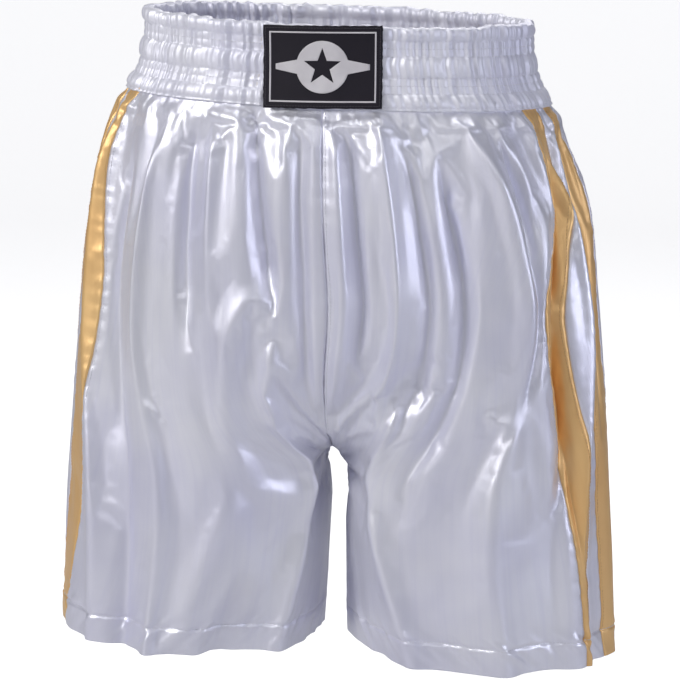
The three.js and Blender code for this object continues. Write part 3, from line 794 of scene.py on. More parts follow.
def creases(leg, s, z):
    """Fine random wrinkles all over: two sets of stretched waves, mostly down the cloth."""
    seed = 300 if leg == "left" else 400
    round_mm, down = s * CREASE_ROUND, z / MM
    patch = 0.5 + 0.5 * wander(round_mm * 0.6 + down * 0.3, 60.0, seed + 3)
    fine = wander(round_mm + 0.25 * down, 9.0, seed) * wander(down, 34.0, seed + 1)
    broad = wander(round_mm - 0.2 * down, 17.0, seed + 4)
    broad = broad * wander(down + 0.4 * round_mm, 60.0, seed + 5)
    return (0.35 * fine * patch + 0.6 * broad) * MM


def sewn_cloth(leg, s, z):
    """The finished outer face of the cloth at a grid of s and z."""
    points = cloth_at(leg, s, z)
    normals = grid_normals(points, SIDES[leg])
    fine = sum(both_halves(f, leg, s, z) for f in (sewing_height, creases))
    near = near_crotch(s, z)
    return points + normals * (fine * (0.35 + 0.65 * near))[..., None]


def cloth_rows():
    """Heights of the fine grid, from just under the casing down to the hem."""
    b = sizes().body
    top = np.linspace(b.seam_z, b.seam_z - 0.03, 22)[:-1]
    middle = np.linspace(b.seam_z - 0.03, b.hem_z + 0.03, 170)[:-1]
    hem = np.linspace(b.hem_z + 0.03, b.hem_z, 30)
    return np.concatenate([top, middle, hem])


def cloth_piece(leg, label, start, end, columns, slot):
    """One panel or strip between two lines of the body, with its own grid."""
    b = sizes().body
    z = cloth_rows()[:, None]
    share = np.linspace(0.0, 1.0, columns)[None, :]
    s = start(z) * (1 - share) + end(z) * share
    z = z + 0 * s
    points = sewn_cloth(leg, s, z)
    rise = np.array([[0.0, 0.0, 0.008]])
    tuck = points[:1] - 1.2 * MM * grid_normals(points, SIDES[leg])[:1] + rise
    points = np.concatenate([tuck, points])
    piece = grid_piece(label + "_cloth", points, grid_faces(*points.shape[:2]), flip=leg == "right")
    thicken(piece, b.cloth)
    place(piece, label, slot, finish(slot))


def first_seam(z):
    """s of the centre front and of the inseam on the front."""
    return 0.0 * z


def last_seam(z):
    """s of the centre back and of the inseam on the back."""
    return 1.0 + 0.0 * z


# ------------------------------------------------------------------ waistband


def band_point(turn, z, lift):
    """Round the band at a share of a turn from the centre front and at height z: a point of
    the oval at that height, moved level and square to the oval by lift."""
    a, d = half_width(z), half_depth(z)
    angle = 2 * np.pi * turn
    normal = unit(np.stack([d * np.sin(angle), -a * np.cos(angle)], -1))
    x = a * np.sin(angle) + lift * normal[..., 0]
    y = -d * np.cos(angle) + lift * normal[..., 1]
    return np.stack([x, y, z + np.zeros_like(x)], -1)


def stitch_levels():
    """Heights of the six rows of stitching, from the top down."""
    w = sizes().band
    middles = (w.high_rows, -sizes().body.seam_z - w.low_rows)
    return [-(middle + k * w.row_pitch) for middle in middles for k in (-1, 0, 1)]


def band_levels():
    """Every height at which the casing is drawn in: its rows, its seam and its top edge."""
    b, w = sizes().body, sizes().band
    return np.array([0.0, *stitch_levels(), b.seam_z + w.seam_rise])


def band_height(turn, z, seed):
    """How far the satin of the casing stands out: it is drawn in at each level, bulges half
    way between two levels in proportion to their distance, and is pleated. The pleats are
    fine between close rows and broad in the puffs, and are pinched at each level."""
    w = sizes().band
    levels = band_levels()
    k = np.clip(np.searchsorted(-levels, -z) - 1, 0, len(levels) - 2)
    gap = levels[k] - levels[k + 1]
    share = np.clip((levels[k] - z) / gap, 0.0, 1.0)
    arch = np.sqrt(np.clip(np.sin(np.pi * share), 0.0, 1.0))
    wide = smooth_step(gap, 1.2 * w.row_pitch, 1.6 * w.row_pitch)
    round_mm = turn * BAND_ROUND
    lean = 1.4 * wander(z / MM, 7.0, seed + 9)
    fine = wander(round_mm + 0.3 * lean, 1.6, seed, BAND_ROUND)
    fine = fine + wander(round_mm, 2.2, seed + 5, BAND_ROUND)
    broad = wander(round_mm + 0.8 * lean, 2.9, seed + 1, BAND_ROUND)
    long = wander(round_mm, 8.0, seed + 2, BAND_ROUND)
    patch = 0.9 + 0.2 * wander(round_mm, 40.0, seed + 3, BAND_ROUND)
    bulge = (w.small_puff + (w.wide_puff - w.small_puff) * wide) * arch
    g = sizes().badge
    across = np.abs(np.mod(turn + 0.5, 1.0) - 0.5) * 2 * np.pi * half_width(z)
    under = 1.0 - smooth_step(across, g.width / 2 - 0.001, g.width / 2 + 0.003)
    pleats = (0.95 * fine + 1.25 * broad) * (1 - wide)
    pleats = pleats + (0.45 * fine + 1.9 * broad + long) * wide
    pinch = 0.62 + 0.38 * arch
    height = bulge * (1 + 0.3 * long * wide) + pleats * pinch * patch * MM
    return height + under * (np.minimum(height, g.lift - 0.0006) - height)


def band_section():
    """The section of the casing as heights and lifts: up the outer face, over the top edge
    in half an ellipse, down the inner face and back along the lower edge."""
    b, w = sizes().body, sizes().band
    out_z = np.linspace(b.seam_z, -0.001, 74)
    roll = np.linspace(0.0, np.pi, 13)[1:-1]
    half = w.casing_depth / 2
    in_z = out_z[::-2]
    z = np.concatenate([out_z, 0.0012 * np.sin(roll) - 0.001, in_z])
    lift = np.concatenate([0 * out_z, half * (np.cos(roll) - 1), 0 * in_z - w.casing_depth])
    outwards = np.concatenate([0 * out_z + 1, np.cos(roll), 0 * in_z - 1])
    return z, lift, outwards


def waistband_piece(material):
    """The casing: the section carried round the band, its faces moved by band_height. The
    top edge is frilled by the same pleats."""
    turns = np.arange(960) / 960
    z, lift, outwards = band_section()
    turn, z = np.meshgrid(turns, z)
    lift, outwards = lift[:, None], outwards[:, None]
    outer = band_height(turn, np.minimum(z, -0.0004), 40)
    inner = band_height(turn, np.minimum(z, -0.0004), 60)
    height = np.where(outwards > 0, outer, inner)
    frill = bump(z, 0.0, 0.004) * 0.9 * MM * wander(turn * BAND_ROUND, 3.6, 41, BAND_ROUND)
    sag = bump(z, 0.0, 0.006) * 1.1 * MM * wander(turn * BAND_ROUND, 26.0, 43, BAND_ROUND)
    points = band_point(turn, z, lift + outwards * height)
    points[..., 2] += frill + sag
    points = points[::-1]
    piece = grid_piece("waistband_casing_satin", points, ring_faces(points))
    place(piece, "waistband_casing", "white_satin", material)


def elastic_piece(material):
    """The elastic inside the casing: a flat ring with fine upright ribs."""
    w = sizes().band
    lo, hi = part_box("waistband_elastic")
    turns = np.arange(720) / 720
    up = np.linspace(lo[2], hi[2], 24)
    outer, inner = -w.elastic_inset, -w.elastic_inset - w.elastic_thickness
    z = np.concatenate([up, up[::-1]])
    lift = np.concatenate([0 * up + outer, 0 * up + inner])
    turn, z = np.meshgrid(turns, z)
    ribs = 0.15 * MM * np.sin(2 * np.pi * 320 * turn)
    points = band_point(turn, z, lift[:, None] + ribs)[::-1]
    piece = grid_piece("waistband_elastic_band", points, ring_faces(points))
    place(piece, "waistband_elastic", "elastic", material)


# ------------------------------------------------------------------ stitches


def stitches(node, path, normals, pitch, slot, material, seed=1):
    """A row of separate stitches along a path. Each is a bead with six sides and five
    rings: its radius falls to a third at the ends, where it dips into the cloth."""
    t = sizes().sewing
    steps = np.linalg.norm(np.diff(path, axis=0), axis=1)
    run = np.concatenate([[0.0], np.cumsum(steps)])
    count = max(2, int(round(run[-1] / pitch)))
    middle = (np.arange(count) + 0.5) / count * run[-1]

    def at(where, rows):
        return np.array([np.interp(where, run, rows[:, k]) for k in range(3)]).T

    ahead, behind = at(middle + 0.3 * pitch, path), at(middle - 0.3 * pitch, path)
    centre = (ahead + behind) / 2
    up = unit(at(middle, normals))
    along = unit(ahead - behind)
    across = unit(np.cross(along, up))
    drift = np.random.RandomState(seed).uniform(-1, 1, (count, 2))
    ring = np.array([-0.5, -0.36, 0.0, 0.36, 0.5]) * pitch * t.stitch_share
    thin = np.array([0.35, 0.85, 1.0, 0.85, 0.35])
    dip = np.array([-0.9, -0.25, 0.1, -0.25, -0.9]) * t.thread_height / 2
    angle = np.arange(6) * np.pi / 3
    x = ring[:, None] + 0 * angle
    y = thin[:, None] * np.cos(angle) * t.thread_width / 2
    z = thin[:, None] * np.sin(angle) * t.thread_height / 2 + dip[:, None] + 0.25 * t.thread_height
    x, y, z = (v.ravel() for v in (x, y, z))
    turned = across + 0.06 * drift[:, :1] * along
    points = (
        centre[:, None]
        + x[None, :, None] * along[:, None]
        + y[None, :, None] * turned[:, None]
        + z[None, :, None] * up[:, None]
    )
    body = grid_faces(5, 6, wrap=True)
    caps = np.array([[3, 2, 1, 0], [5, 4, 3, 0], [24, 25, 26, 27], [24, 27, 28, 29]])
    one = np.concatenate([body[:, ::-1], caps])
    faces = (one[None] + 30 * np.arange(count)[:, None, None]).reshape(-1, 4)
    u = np.broadcast_to(x, (count, 30)) + middle[:, None]
    v = np.broadcast_to(y, (count, 30))
    uv = np.stack([u, v], -1).reshape(-1, 2)
    piece = new_piece(node + "_stitches", points.reshape(-1, 3), faces, uv)
    place(piece, node, slot, material)


def path_down(leg, line, top, bottom):
    """A path down the cloth along s = line(z), with its normals."""
    z = np.arange(top, bottom, -0.0012)[:, None]
    s = line(z) + np.array([[-0.0015, 0.0, 0.0015]])
    points = sewn_cloth(leg, s, z + 0 * s)
    return points[:, 1], grid_normals(points, SIDES[leg])[:, 1]


def path_round(leg, level):
    """A path round one leg at a height, with its normals."""
    s = np.linspace(0.0, 1.0, 560)[None, :]
    z = level + np.array([[0.0008], [0.0], [-0.0008]])
    points = sewn_cloth(leg, s + 0 * z, z + 0 * s)
    return points[1], grid_normals(points, SIDES[leg])[1]


def seam_stitches(leg, white, gold):
    """Topstitching beside the four lines of the stripe of one leg."""
    b, t = sizes().body, sizes().sewing
    top, bottom = b.seam_z - 0.002, b.hem_z + b.hem_height
    rows = (
        ("front_panel", 0, t.side_offset, "white_thread", white),
        ("front_gold", 1, t.side_offset, "gold_thread", gold),
        ("rear_gold", 2, -t.side_offset, "gold_thread", gold),
        ("back_panel", 3, -t.side_offset, "white_thread", white),
    )
    for seam, k, offset, slot, material in rows:
        node = f"{leg}_{seam}_seam_thread"
        path, normals = path_down(leg, stripe_seam(leg, k, offset), top, bottom)
        stitches(node, path, normals, t.stitch_pitch, slot, material, k)


def beside_inseam(distance):
    """s of the line that stays a fixed distance in front of the inseam."""
    return lambda z: distance / (2 * np.pi * half_depth(z) * sizes().body.leg_flatness)


def beside_centre(distance, back=False):
    """s of the line that stays a fixed distance from the centre plane."""
    if back:
        return lambda z: 1.0 - distance / (np.pi * half_width(z))
    return lambda z: distance / (np.pi * half_width(z))


def inner_stitches(white):
    """The two inseams and the front and back rise."""
    b, t = sizes().body, sizes().sewing
    hem_top = b.hem_z + b.hem_height
    for leg in SIDES:
        node = f"{leg}_inseam_thread"
        path, normals = path_down(leg, beside_inseam(t.side_offset), b.crotch_z - 0.012, hem_top)
        stitches(node, path, normals, t.stitch_pitch, "white_thread", white)
    for face in ("front", "back"):
        node = f"{face}_rise_seam_thread"
        line = beside_centre(t.side_offset, face == "back")
        path, normals = path_down("left", line, b.seam_z - 0.002, b.crotch_z + 0.026)
        stitches(node, path, normals, t.stitch_pitch, "white_thread", white)


def hem_stitches(white):
    """A row of stitches round each hem, just below the turned-up edge."""
    b, t = sizes().body, sizes().sewing
    for leg in SIDES:
        node = f"{leg}_hem_thread"
        path, normals = path_round(leg, b.hem_z + b.hem_height - HEM_STITCH_DROP)
        stitches(node, path, normals, t.stitch_pitch, "white_thread", white)


def band_stitches(white):
    """The rows of stitches round the casing and the one of the waist seam."""
    b, w, t = sizes().body, sizes().band, sizes().sewing
    turn = np.linspace(0.0, 1.0, 1600)[None, :]
    rows = {f"waistband_stitch_row_{k + 1}": z for k, z in enumerate(stitch_levels())}
    rows["waist_seam_thread"] = b.seam_z + w.seam_rise
    for k, (node, level) in enumerate(rows.items()):
        z = level + np.array([[0.0004], [0.0], [-0.0004]])
        height = band_height(turn, z + 0 * turn, 40)
        points = band_point(turn + 0 * z, z + 0 * turn, height)
        normals = band_point(turn + 0 * z, z, height + 0.001) - points
        stitches(node, points[1], unit(normals[1]), t.band_pitch, "white_thread", white, k)


# ------------------------------------------------------------------ badge and tag


def badge_point(x, y, lift):
    """The badge wrapped round the band: x across and y up from its middle, in metres. It
    follows the gathers under it a little."""
    g = sizes().badge
    z = y - g.top_margin - g.height / 2
    turn = np.arcsin(x / half_width(z)) / (2 * np.pi)
    wavy = 0.5 * MM * wander(x / MM, 11.0, 80) + 0.35 * MM * wander(y / MM, 13.0, 81)
    return band_point(turn, z, g.lift + wavy + lift)


def badge_frame_path(inset, count_x=90, count_y=64):
    """Points of a rectangle inside the badge's edge, going round it once."""
    g = sizes().badge
    hx, hy = g.width / 2 - inset, g.height / 2 - inset
    tx, ty = np.arange(count_x) / count_x * 2 - 1, np.arange(count_y) / count_y * 2 - 1
    x = np.concatenate([tx * hx, 0 * ty + hx, -tx * hx, 0 * ty - hx])
    y = np.concatenate([0 * tx - hy, ty * hy, 0 * tx + hy, -ty * hy])
    return x, y


def badge_backing(material):
    """A woven rectangle with a rolled edge: the lift falls away in the last millimetre."""
    g = sizes().badge
    wide, high = np.linspace(-0.5, 0.5, 130) * g.width, np.linspace(0.5, -0.5, 92) * g.height
    x, y = np.meshgrid(wide, high)
    edge = np.minimum(g.width / 2 - np.abs(x), g.height / 2 - np.abs(y))
    lift = g.thickness * (0.45 + 0.55 * smooth_step(edge, 0.0, 0.0016))
    hem = 0.25 * MM * smooth_step(edge, 0.0052, 0.0036)
    fray = 0.25 * MM * wander((x + y) / MM, 2.2, 83) * bump(edge, 0.0, 0.0006)
    points = badge_point(x + fray, y - fray, lift + hem)
    faces = grid_faces(*points.shape[:2])
    uv = np.stack([x, y], -1).reshape(-1, 2)
    piece = new_piece("badge_backing_weave", points.reshape(-1, 3), faces, uv)
    thicken(piece, g.thickness)
    place(piece, "badge_backing", "badge_weave", material)


def badge_border(material):
    """A raised woven line along a rectangle: a half round carried along it."""
    g = sizes().badge
    angle = np.linspace(0.0, np.pi, 9)
    offset = -np.cos(angle) * g.border_width / 2
    rise = np.sin(angle) ** 0.6 * g.print_height
    rings = [badge_frame_path(g.border_inset - o) for o in offset]
    x, y = (np.stack(part) for part in zip(*rings))
    points = badge_point(x, y, g.thickness + rise[:, None])
    bottom = badge_point(x, y, g.thickness * 0.8 + 0 * rise[:, None])[::-1]
    points = np.concatenate([points, bottom[1:-1]])
    points = np.concatenate([points, points[:1]])
    faces = grid_faces(*points.shape[:2], wrap=True)
    uv = np.stack([x, y], -1)
    uv = np.concatenate([uv, uv[::-1][1:-1], uv[:1]])
    piece = new_piece("badge_border_weave", points.reshape(-1, 3), faces, uv.reshape(-1, 2), flip=True)
    place(piece, "badge_border", "badge_print", material)


def emblem_reach(angle):
    """Distance from the middle to the outline of the emblem: the disc, or where it is
    further, the tapered bar on each side."""
    g = sizes().badge
    c, s = np.abs(np.cos(angle)), np.abs(np.sin(angle))
    # a bar's edge is the line y = root + (tip - root) (x - r) / (reach - r)
    slope = (g.bar_tip - g.bar_root) / (g.emblem_reach - g.emblem_radius)
    start = g.bar_root - slope * g.emblem_radius
    edge = start / np.maximum(s - slope * c, 1e-6)
    end = g.emblem_reach / np.maximum(c, 1e-6)
    return np.maximum(g.emblem_radius, np.minimum(edge, end))


def star_reach(angle):
    """Distance from the middle to the outline of a five-pointed star, by its straight
    edges between a point and an inner corner."""
    g = sizes().badge
    turn = np.mod(angle - np.pi / 2, 2 * np.pi / 5)
    turn = np.minimum(turn, 2 * np.pi / 5 - turn)
    tip = np.array([g.star_radius, 0.0])
    corner = g.star_waist * np.array([math.cos(math.pi / 5), math.sin(math.pi / 5)])
    along = corner - tip
    return (tip[0] * along[1]) / (np.cos(turn) * along[1] - np.sin(turn) * along[0])


def badge_emblem(material):
    """The emblem's top between the star and the outline, with rounded edges: rays from the
    middle, and along each the section of a flat raised weave."""
    g = sizes().badge
    angle = np.arange(1440) / 1440 * 2 * np.pi
    across = np.concatenate([[0.0, 0.0], np.linspace(0.0, 1.0, 14), [1.0, 1.0]])
    rise = np.concatenate([[-0.4, 0.35], np.full(14, 1.0), [0.35, -0.4]])
    rise[2] = rise[-3] = 0.8
    inner, outer = star_reach(angle), emblem_reach(angle)
    r = inner + (outer - inner) * across[:, None]
    x, y = r * np.cos(angle), r * np.sin(angle)
    points = badge_point(x, y, g.thickness + rise[:, None] * g.print_height)
    points = np.concatenate([points, points[:1]])
    uv = np.stack([x, y], -1)
    uv = np.concatenate([uv, uv[:1]]).reshape(-1, 2)
    faces = grid_faces(*points.shape[:2], wrap=True)
    piece = new_piece("badge_emblem_weave", points.reshape(-1, 3), faces, uv)
    place(piece, "badge_emblem", "badge_print", material)


def badge_stitches(material):
    """Small stitches round the edge of the badge."""
    g, t = sizes().badge, sizes().sewing
    x, y = badge_frame_path(g.stitch_inset, 300, 200)
    x, y = np.append(x, x[0]), np.append(y, y[0])
    path = badge_point(x, y, g.thickness + 0.00025 + 0 * x)
    normals = badge_point(x, y, g.thickness + 0.00125 + 0 * x) - path
    stitches("badge_stitch_thread", path, unit(normals), t.badge_pitch, "badge_thread", material)


def care_tag(material):
    """A small blank tape hanging inside the back: a sheet that curls slowly inwards."""
    lo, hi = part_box("care_tag")
    width, drop = hi[0] - lo[0], hi[2] - lo[2]
    x, v = np.meshgrid(np.linspace(-0.5, 0.5, 30), np.linspace(0.0, 1.0, 36))
    curl = 0.006 * v**2 + 0.0012 * np.sin(2 * np.pi * (x * 0.8 + 0.2)) * v
    y = hi[1] - 0.0006 - curl - 0.004 * (2 * x) ** 2 * (1 - v)
    points = np.stack([x * width + (lo[0] + hi[0]) / 2, y, hi[2] - v * drop], -1)
    piece = grid_piece("care_tag_tape", points, grid_faces(36, 30), flip=True)
    thicken(piece, 0.0004)
    place(piece, "care_tag", "tag_tape", material)


# ------------------------------------------------------------------ materials


class Nodes:
    """Short calls for making and joining the nodes of one tree."""

    def __init__(self, tree):
        self.tree = tree
        tree.nodes.clear()

    def add(self, kind, **values):
        """A node with its settings, and its inputs by name with spaces as underscores."""
        node = self.tree.nodes.new("ShaderNode" + kind)
        for key, value in values.items():
            if hasattr(node, key):
                setattr(node, key, value)
            else:
                self.feed(node.inputs[key.replace("_", " ")], value)
        return node

    def feed(self, socket, value):
        """Joins a socket to another one, or sets its number."""
        if isinstance(value, bpy.types.NodeSocket):
            self.tree.links.new(value, socket)
        else:
            socket.default_value = value

    def math(self, operation, *values):
        """The output of a Math node."""
        node = self.tree.nodes.new("ShaderNodeMath")
        node.operation = operation
        for socket, value in zip(node.inputs, values):
            self.feed(socket, value)
        return node.outputs[0]

    def noise(self, vector, scale, stretch, detail=3.0):
        """A noise between 0 and 1 whose cells are 1 / (scale * stretch) metres wide."""
        scaled = self.add("Mapping", Vector=vector, Scale=stretch)
        noise = self.add("TexNoise", Vector=scaled.outputs[0], Scale=scale, Detail=detail)
        return noise.outputs["Fac"]

    def blend(self, amount, first, second):
        """Two colours mixed by an amount."""
        node = self.add("Mix", data_type="RGBA")
        self.feed(node.inputs[0], amount)
        self.feed(node.inputs[6], first)
        self.feed(node.inputs[7], second)
        return node.outputs[2]

    def ramp(self, value, low, high):
        """A value turned from low..high into 0..1, held at both ends."""
        node = self.add("MapRange", Value=value, From_Min=low, From_Max=high)
        return node.outputs[0]


def group_ends(tree):
    """The input and the output node of a group."""
    return tree.nodes.new("NodeGroupInput"), tree.nodes.new("NodeGroupOutput")


def group_results(tree, nodes, result, tone, rough, bump_node):
    """Joins what a group puts out to its output node."""
    nodes.feed(result.inputs["Colour"], tone)
    nodes.feed(result.inputs["Roughness"], rough)
    nodes.feed(result.inputs["Normal"], bump_node.outputs[0])
    return tree


@functools.lru_cache(maxsize=None)
def satin_group():
    """Satin: long bright floats of warp crossed by fine weft, with slubs, painted shade and
    soiling. The painted shade is the shade tone blended in random clouds and in long
    streaks down the cloth. Weave, slubs and streaks lie on the piece's own UV map in
    metres, the clouds and the soiling on the object's coordinates."""
    tree, nodes = new_group(
        "Satin cloth",
        [("Colour", "Color", (0.8, 0.8, 0.8, 1)), ("Tint", "Color", (0.6, 0.6, 0.8, 1)),
         ("Soil", "Color", (0.5, 0.45, 0.4, 1)), ("Roughness", "Float", 0.3), ("Weave", "Float", 1.0)],
    )
    given, result = group_ends(tree)
    uv = nodes.add("UVMap").outputs[0]
    place = nodes.add("SeparateXYZ", Vector=uv)
    warp = nodes.math("SINE", nodes.math("MULTIPLY", place.outputs[0], 2 * math.pi / 0.00042))
    weft = nodes.math("SINE", nodes.math("MULTIPLY", place.outputs[1], 2 * math.pi / 0.00060))
    slubs = nodes.noise(uv, 1.0, (1500.0, 45.0, 1.0))
    shade_streaks = nodes.noise(uv, 1.0, (300.0, 9.0, 1.0))
    object_place = nodes.add("TexCoord").outputs["Object"]
    clouds = nodes.noise(object_place, 9.0, (1.0, 1.0, 1.0))
    grime = nodes.noise(object_place, 26.0, (1.0, 1.0, 0.6), detail=5.0)
    # painted shade: the shade tone mixed in, up to 55 per cent, in random clouds
    shade_patches = nodes.math("MULTIPLY", nodes.ramp(clouds, 0.38, 0.68), 0.55)
    base = nodes.blend(shade_patches, given.outputs["Colour"], given.outputs["Tint"])
    # painted shade: the shade tone mixed in, up to 20 per cent, along long streaks down the cloth
    line = nodes.math("MULTIPLY", nodes.ramp(shade_streaks, 0.45, 0.75), 0.20)
    base = nodes.blend(line, base, given.outputs["Tint"])
    dirt = nodes.math("MULTIPLY", nodes.ramp(grime, 0.58, 0.80), 0.10)
    base = nodes.blend(dirt, base, given.outputs["Soil"])
    rough = nodes.math("MULTIPLY_ADD", slubs, 0.12, given.outputs["Roughness"])
    rough = nodes.math("MULTIPLY_ADD", clouds, 0.10, rough)
    rough = nodes.math("MULTIPLY_ADD", warp, 0.02, rough)
    threads = nodes.math("MULTIPLY_ADD", weft, 0.5, warp)
    height = nodes.math("MULTIPLY_ADD", slubs, 2.2, nodes.math("MULTIPLY", threads, 0.35))
    height = nodes.math("MULTIPLY", height, given.outputs["Weave"])
    bump_node = nodes.add("Bump", Height=height, Strength=0.35, Distance=0.00008)
    return group_results(tree, nodes, result, base, rough, bump_node)


def new_group(name, inputs):
    """A shader node group with named inputs that puts out a colour, a roughness and a
    normal, and its Nodes."""
    tree = bpy.data.node_groups.new(name, "ShaderNodeTree")
    nodes = Nodes(tree)
    for label, kind, value in inputs:
        socket = tree.interface.new_socket(label, in_out="INPUT", socket_type="NodeSocket" + kind)
        socket.default_value = value
    for label, kind in (("Colour", "Color"), ("Roughness", "Float"), ("Normal", "Vector")):
        tree.interface.new_socket(label, in_out="OUTPUT", socket_type="NodeSocket" + kind)
    return tree, nodes


@functools.lru_cache(maxsize=None)
def yarn_group():
    """Twisted or ribbed yarn: slanting plies on the UV map, with fuzz and shade noise."""
    tree, nodes = new_group(
        "Yarn",
        [("Colour", "Color", (0.8, 0.8, 0.8, 1)), ("Shade", "Color", (0.4, 0.4, 0.4, 1)),
         ("Across", "Float", 2500.0), ("Along", "Float", 2500.0), ("Roughness", "Float", 0.6),
         ("Depth", "Float", 0.5)],
    )
    given, result = group_ends(tree)
    uv = nodes.add("UVMap").outputs[0]
    place = nodes.add("SeparateXYZ", Vector=uv)
    across = nodes.math("MULTIPLY", place.outputs[0], given.outputs["Across"])
    along = nodes.math("MULTIPLY", place.outputs[1], given.outputs["Along"])
    plies = nodes.math("SINE", nodes.math("ADD", across, along))
    plies = nodes.math("MULTIPLY_ADD", plies, 0.5, 0.5)
    fuzz = nodes.noise(uv, 1.0, (2600.0, 2600.0, 1.0), detail=4.0)
    cloud = nodes.noise(nodes.add("TexCoord").outputs["Object"], 60.0, (1.0, 1.0, 1.0))
    dark = nodes.math("MULTIPLY", nodes.math("SUBTRACT", 1.0, plies), 0.55)
    dark = nodes.math("MULTIPLY_ADD", nodes.ramp(cloud, 0.35, 0.75), 0.3, dark)
    colour_now = nodes.blend(dark, given.outputs["Colour"], given.outputs["Shade"])
    rough = nodes.math("MULTIPLY_ADD", fuzz, 0.2, given.outputs["Roughness"])
    height = nodes.math("MULTIPLY_ADD", fuzz, 0.5, plies)
    height = nodes.math("MULTIPLY", height, given.outputs["Depth"])
    bump_node = nodes.add("Bump", Height=height, Strength=0.6, Distance=0.00010)
    return group_results(tree, nodes, result, colour_now, rough, bump_node)


def finish_from(name, group, values, shader):
    """A material: the group's colour, roughness and normal on a Principled BSDF whose other
    sockets are set by name."""
    material = bpy.data.materials.new(name)
    material.use_nodes = True
    nodes = Nodes(material.node_tree)
    effect = nodes.tree.nodes.new("ShaderNodeGroup")
    effect.node_tree = group
    for key, value in values.items():
        effect.inputs[key].default_value = (*value, 1.0) if hasattr(value, "__len__") else value
    surface = nodes.add("BsdfPrincipled")
    for key, value in shader.items():
        surface.inputs[key].default_value = value
    for key, given in (("Base Color", "Colour"), ("Roughness", "Roughness"), ("Normal", "Normal")):
        nodes.feed(surface.inputs[key], effect.outputs[given])
    output = nodes.add("OutputMaterial")
    nodes.feed(output.inputs["Surface"], surface.outputs[0])
    return material


SATIN_SHADER = {"Specular IOR Level": 0.6, "Sheen Weight": 0.10, "Sheen Roughness": 0.4}
THREAD_SHADER = {"Specular IOR Level": 0.45, "Sheen Weight": 0.3, "Sheen Roughness": 0.5}
# satins: material's name, three colours (own colour, painted shade tone and soil), roughness and
# metallic share
SATINS = {
    "white_satin": ("White satin", ("white", "lilac_shade", "soil"), 0.25, 0.50),
    "band_satin": ("Gathered satin", ("white", "lilac_shade", "soil"), 0.33, 0.30),
    "gold_satin": ("Gold satin", ("gold", "bronze_shade", "umber"), 0.27, 0.45),
}
# yarns: material's name, two colours, waves across and along, depth, roughness and shader
YARNS = {
    "white_thread": ("White thread", "thread", "thread_shade", 9000.0, 5200.0, 0.6, 0.6, THREAD_SHADER),
    "gold_thread": ("Gold thread", "gold", "umber", 9000.0, 5200.0, 0.6, 0.6, THREAD_SHADER),
    "black_thread": ("Black thread", "black_highlight", "black", 9000.0, 5200.0, 0.6, 0.6, THREAD_SHADER),
    "black_weave": (
        "Black woven badge", "black", "black_highlight", 0.0, 9000.0, 0.8, 0.5, {"Specular IOR Level": 0.22}
    ),
    "pale_weave": ("Pale woven thread", "pale", "pale_shade", 9500.0, 0.0, 0.8, 0.6, THREAD_SHADER),
    "elastic_weave": (
        "Woven elastic", "pale", "pale_shade", 3200.0, 0.0, 1.0, 0.6, {"Specular IOR Level": 0.3}
    ),
    "tag_weave": (
        "Tag tape", "pale", "thread_shade", 0.0, 12000.0, 0.4, 0.6, {"Specular IOR Level": 0.5}
    ),
}


@functools.lru_cache(maxsize=None)
def finish(kind):
    """The material of a satin or a yarn, made once."""
    f = sizes().finishes
    if kind in SATINS:
        name, tones, rough, metal = SATINS[kind]
        values = dict(zip(("Colour", "Tint", "Soil"), (getattr(f, tone) for tone in tones)))
        values.update(Roughness=rough, Weave=1.0)
        return finish_from(name, satin_group(), values, {**SATIN_SHADER, "Metallic": metal})
    name, tone, shade, across, along, depth, rough, shader = YARNS[kind]
    values = {"Colour": getattr(f, tone), "Shade": getattr(f, shade), "Across": across, "Along": along}
    values.update(Depth=depth, Roughness=rough)
    return finish_from(name, yarn_group(), values, shader)


# ------------------------------------------------------------------ stage


def stage_material():
    """Matt pale paper with a faint tooth."""
    material = bpy.data.materials.new("Pale paper")
    material.use_nodes = True
    nodes = Nodes(material.node_tree)
    tooth = nodes.noise(nodes.add("TexCoord").outputs["Object"], 240.0, (1.0, 1.0, 1.0))
    bump_node = nodes.add("Bump", Height=tooth, Strength=0.1, Distance=0.0005)
    tone = sizes().stage.paper
    surface = nodes.add("BsdfPrincipled", Roughness=0.9)
    surface.inputs["Base Color"].default_value = (*tone, 1.0)
    surface.inputs["Emission Color"].default_value = (1.0, 1.0, 1.0, 1.0)
    seen = nodes.add("LightPath").outputs["Is Camera Ray"]
    nodes.feed(surface.inputs["Emission Strength"], nodes.math("MULTIPLY", seen, 0.75))
    nodes.feed(surface.inputs["Normal"], bump_node.outputs[0])
    nodes.feed(nodes.add("OutputMaterial").inputs["Surface"], surface.outputs[0])
    return material


def backdrop():
    """A floor that curves up into a wall: a profile of a line, a quarter circle and a line,
    carried straight across."""
    s = sizes().stage
    angle = np.linspace(0.0, np.pi / 2, 24)
    y = np.concatenate([[-6.0], s.wall + s.bend * (np.sin(angle) - 1), [s.wall]])
    z = np.concatenate([[0.0], s.bend * (1 - np.cos(angle)), [6.0]]) + s.floor
    x = np.array([-8.0, 8.0])
    points = np.stack([np.broadcast_to(v, (len(y), 2)) for v in (x, y[:, None], z[:, None])], -1)
    piece = new_piece("studio_backdrop", points.reshape(-1, 3), grid_faces(len(y), 2))
    piece.data.materials.append(stage_material())


def soft_light(name, place_at, aim, size, power, tone):
    """A square area light at a place, turned to its aim."""
    data = bpy.data.lights.new(name, "AREA")
    data.shape, data.size, data.energy, data.color = "SQUARE", size, power, tone
    light = bpy.data.objects.new(name, data)
    light.location = place_at
    light.rotation_euler = (Vector(aim) - Vector(place_at)).to_track_quat("-Z", "Y").to_euler()
    bpy.context.scene.collection.objects.link(light)


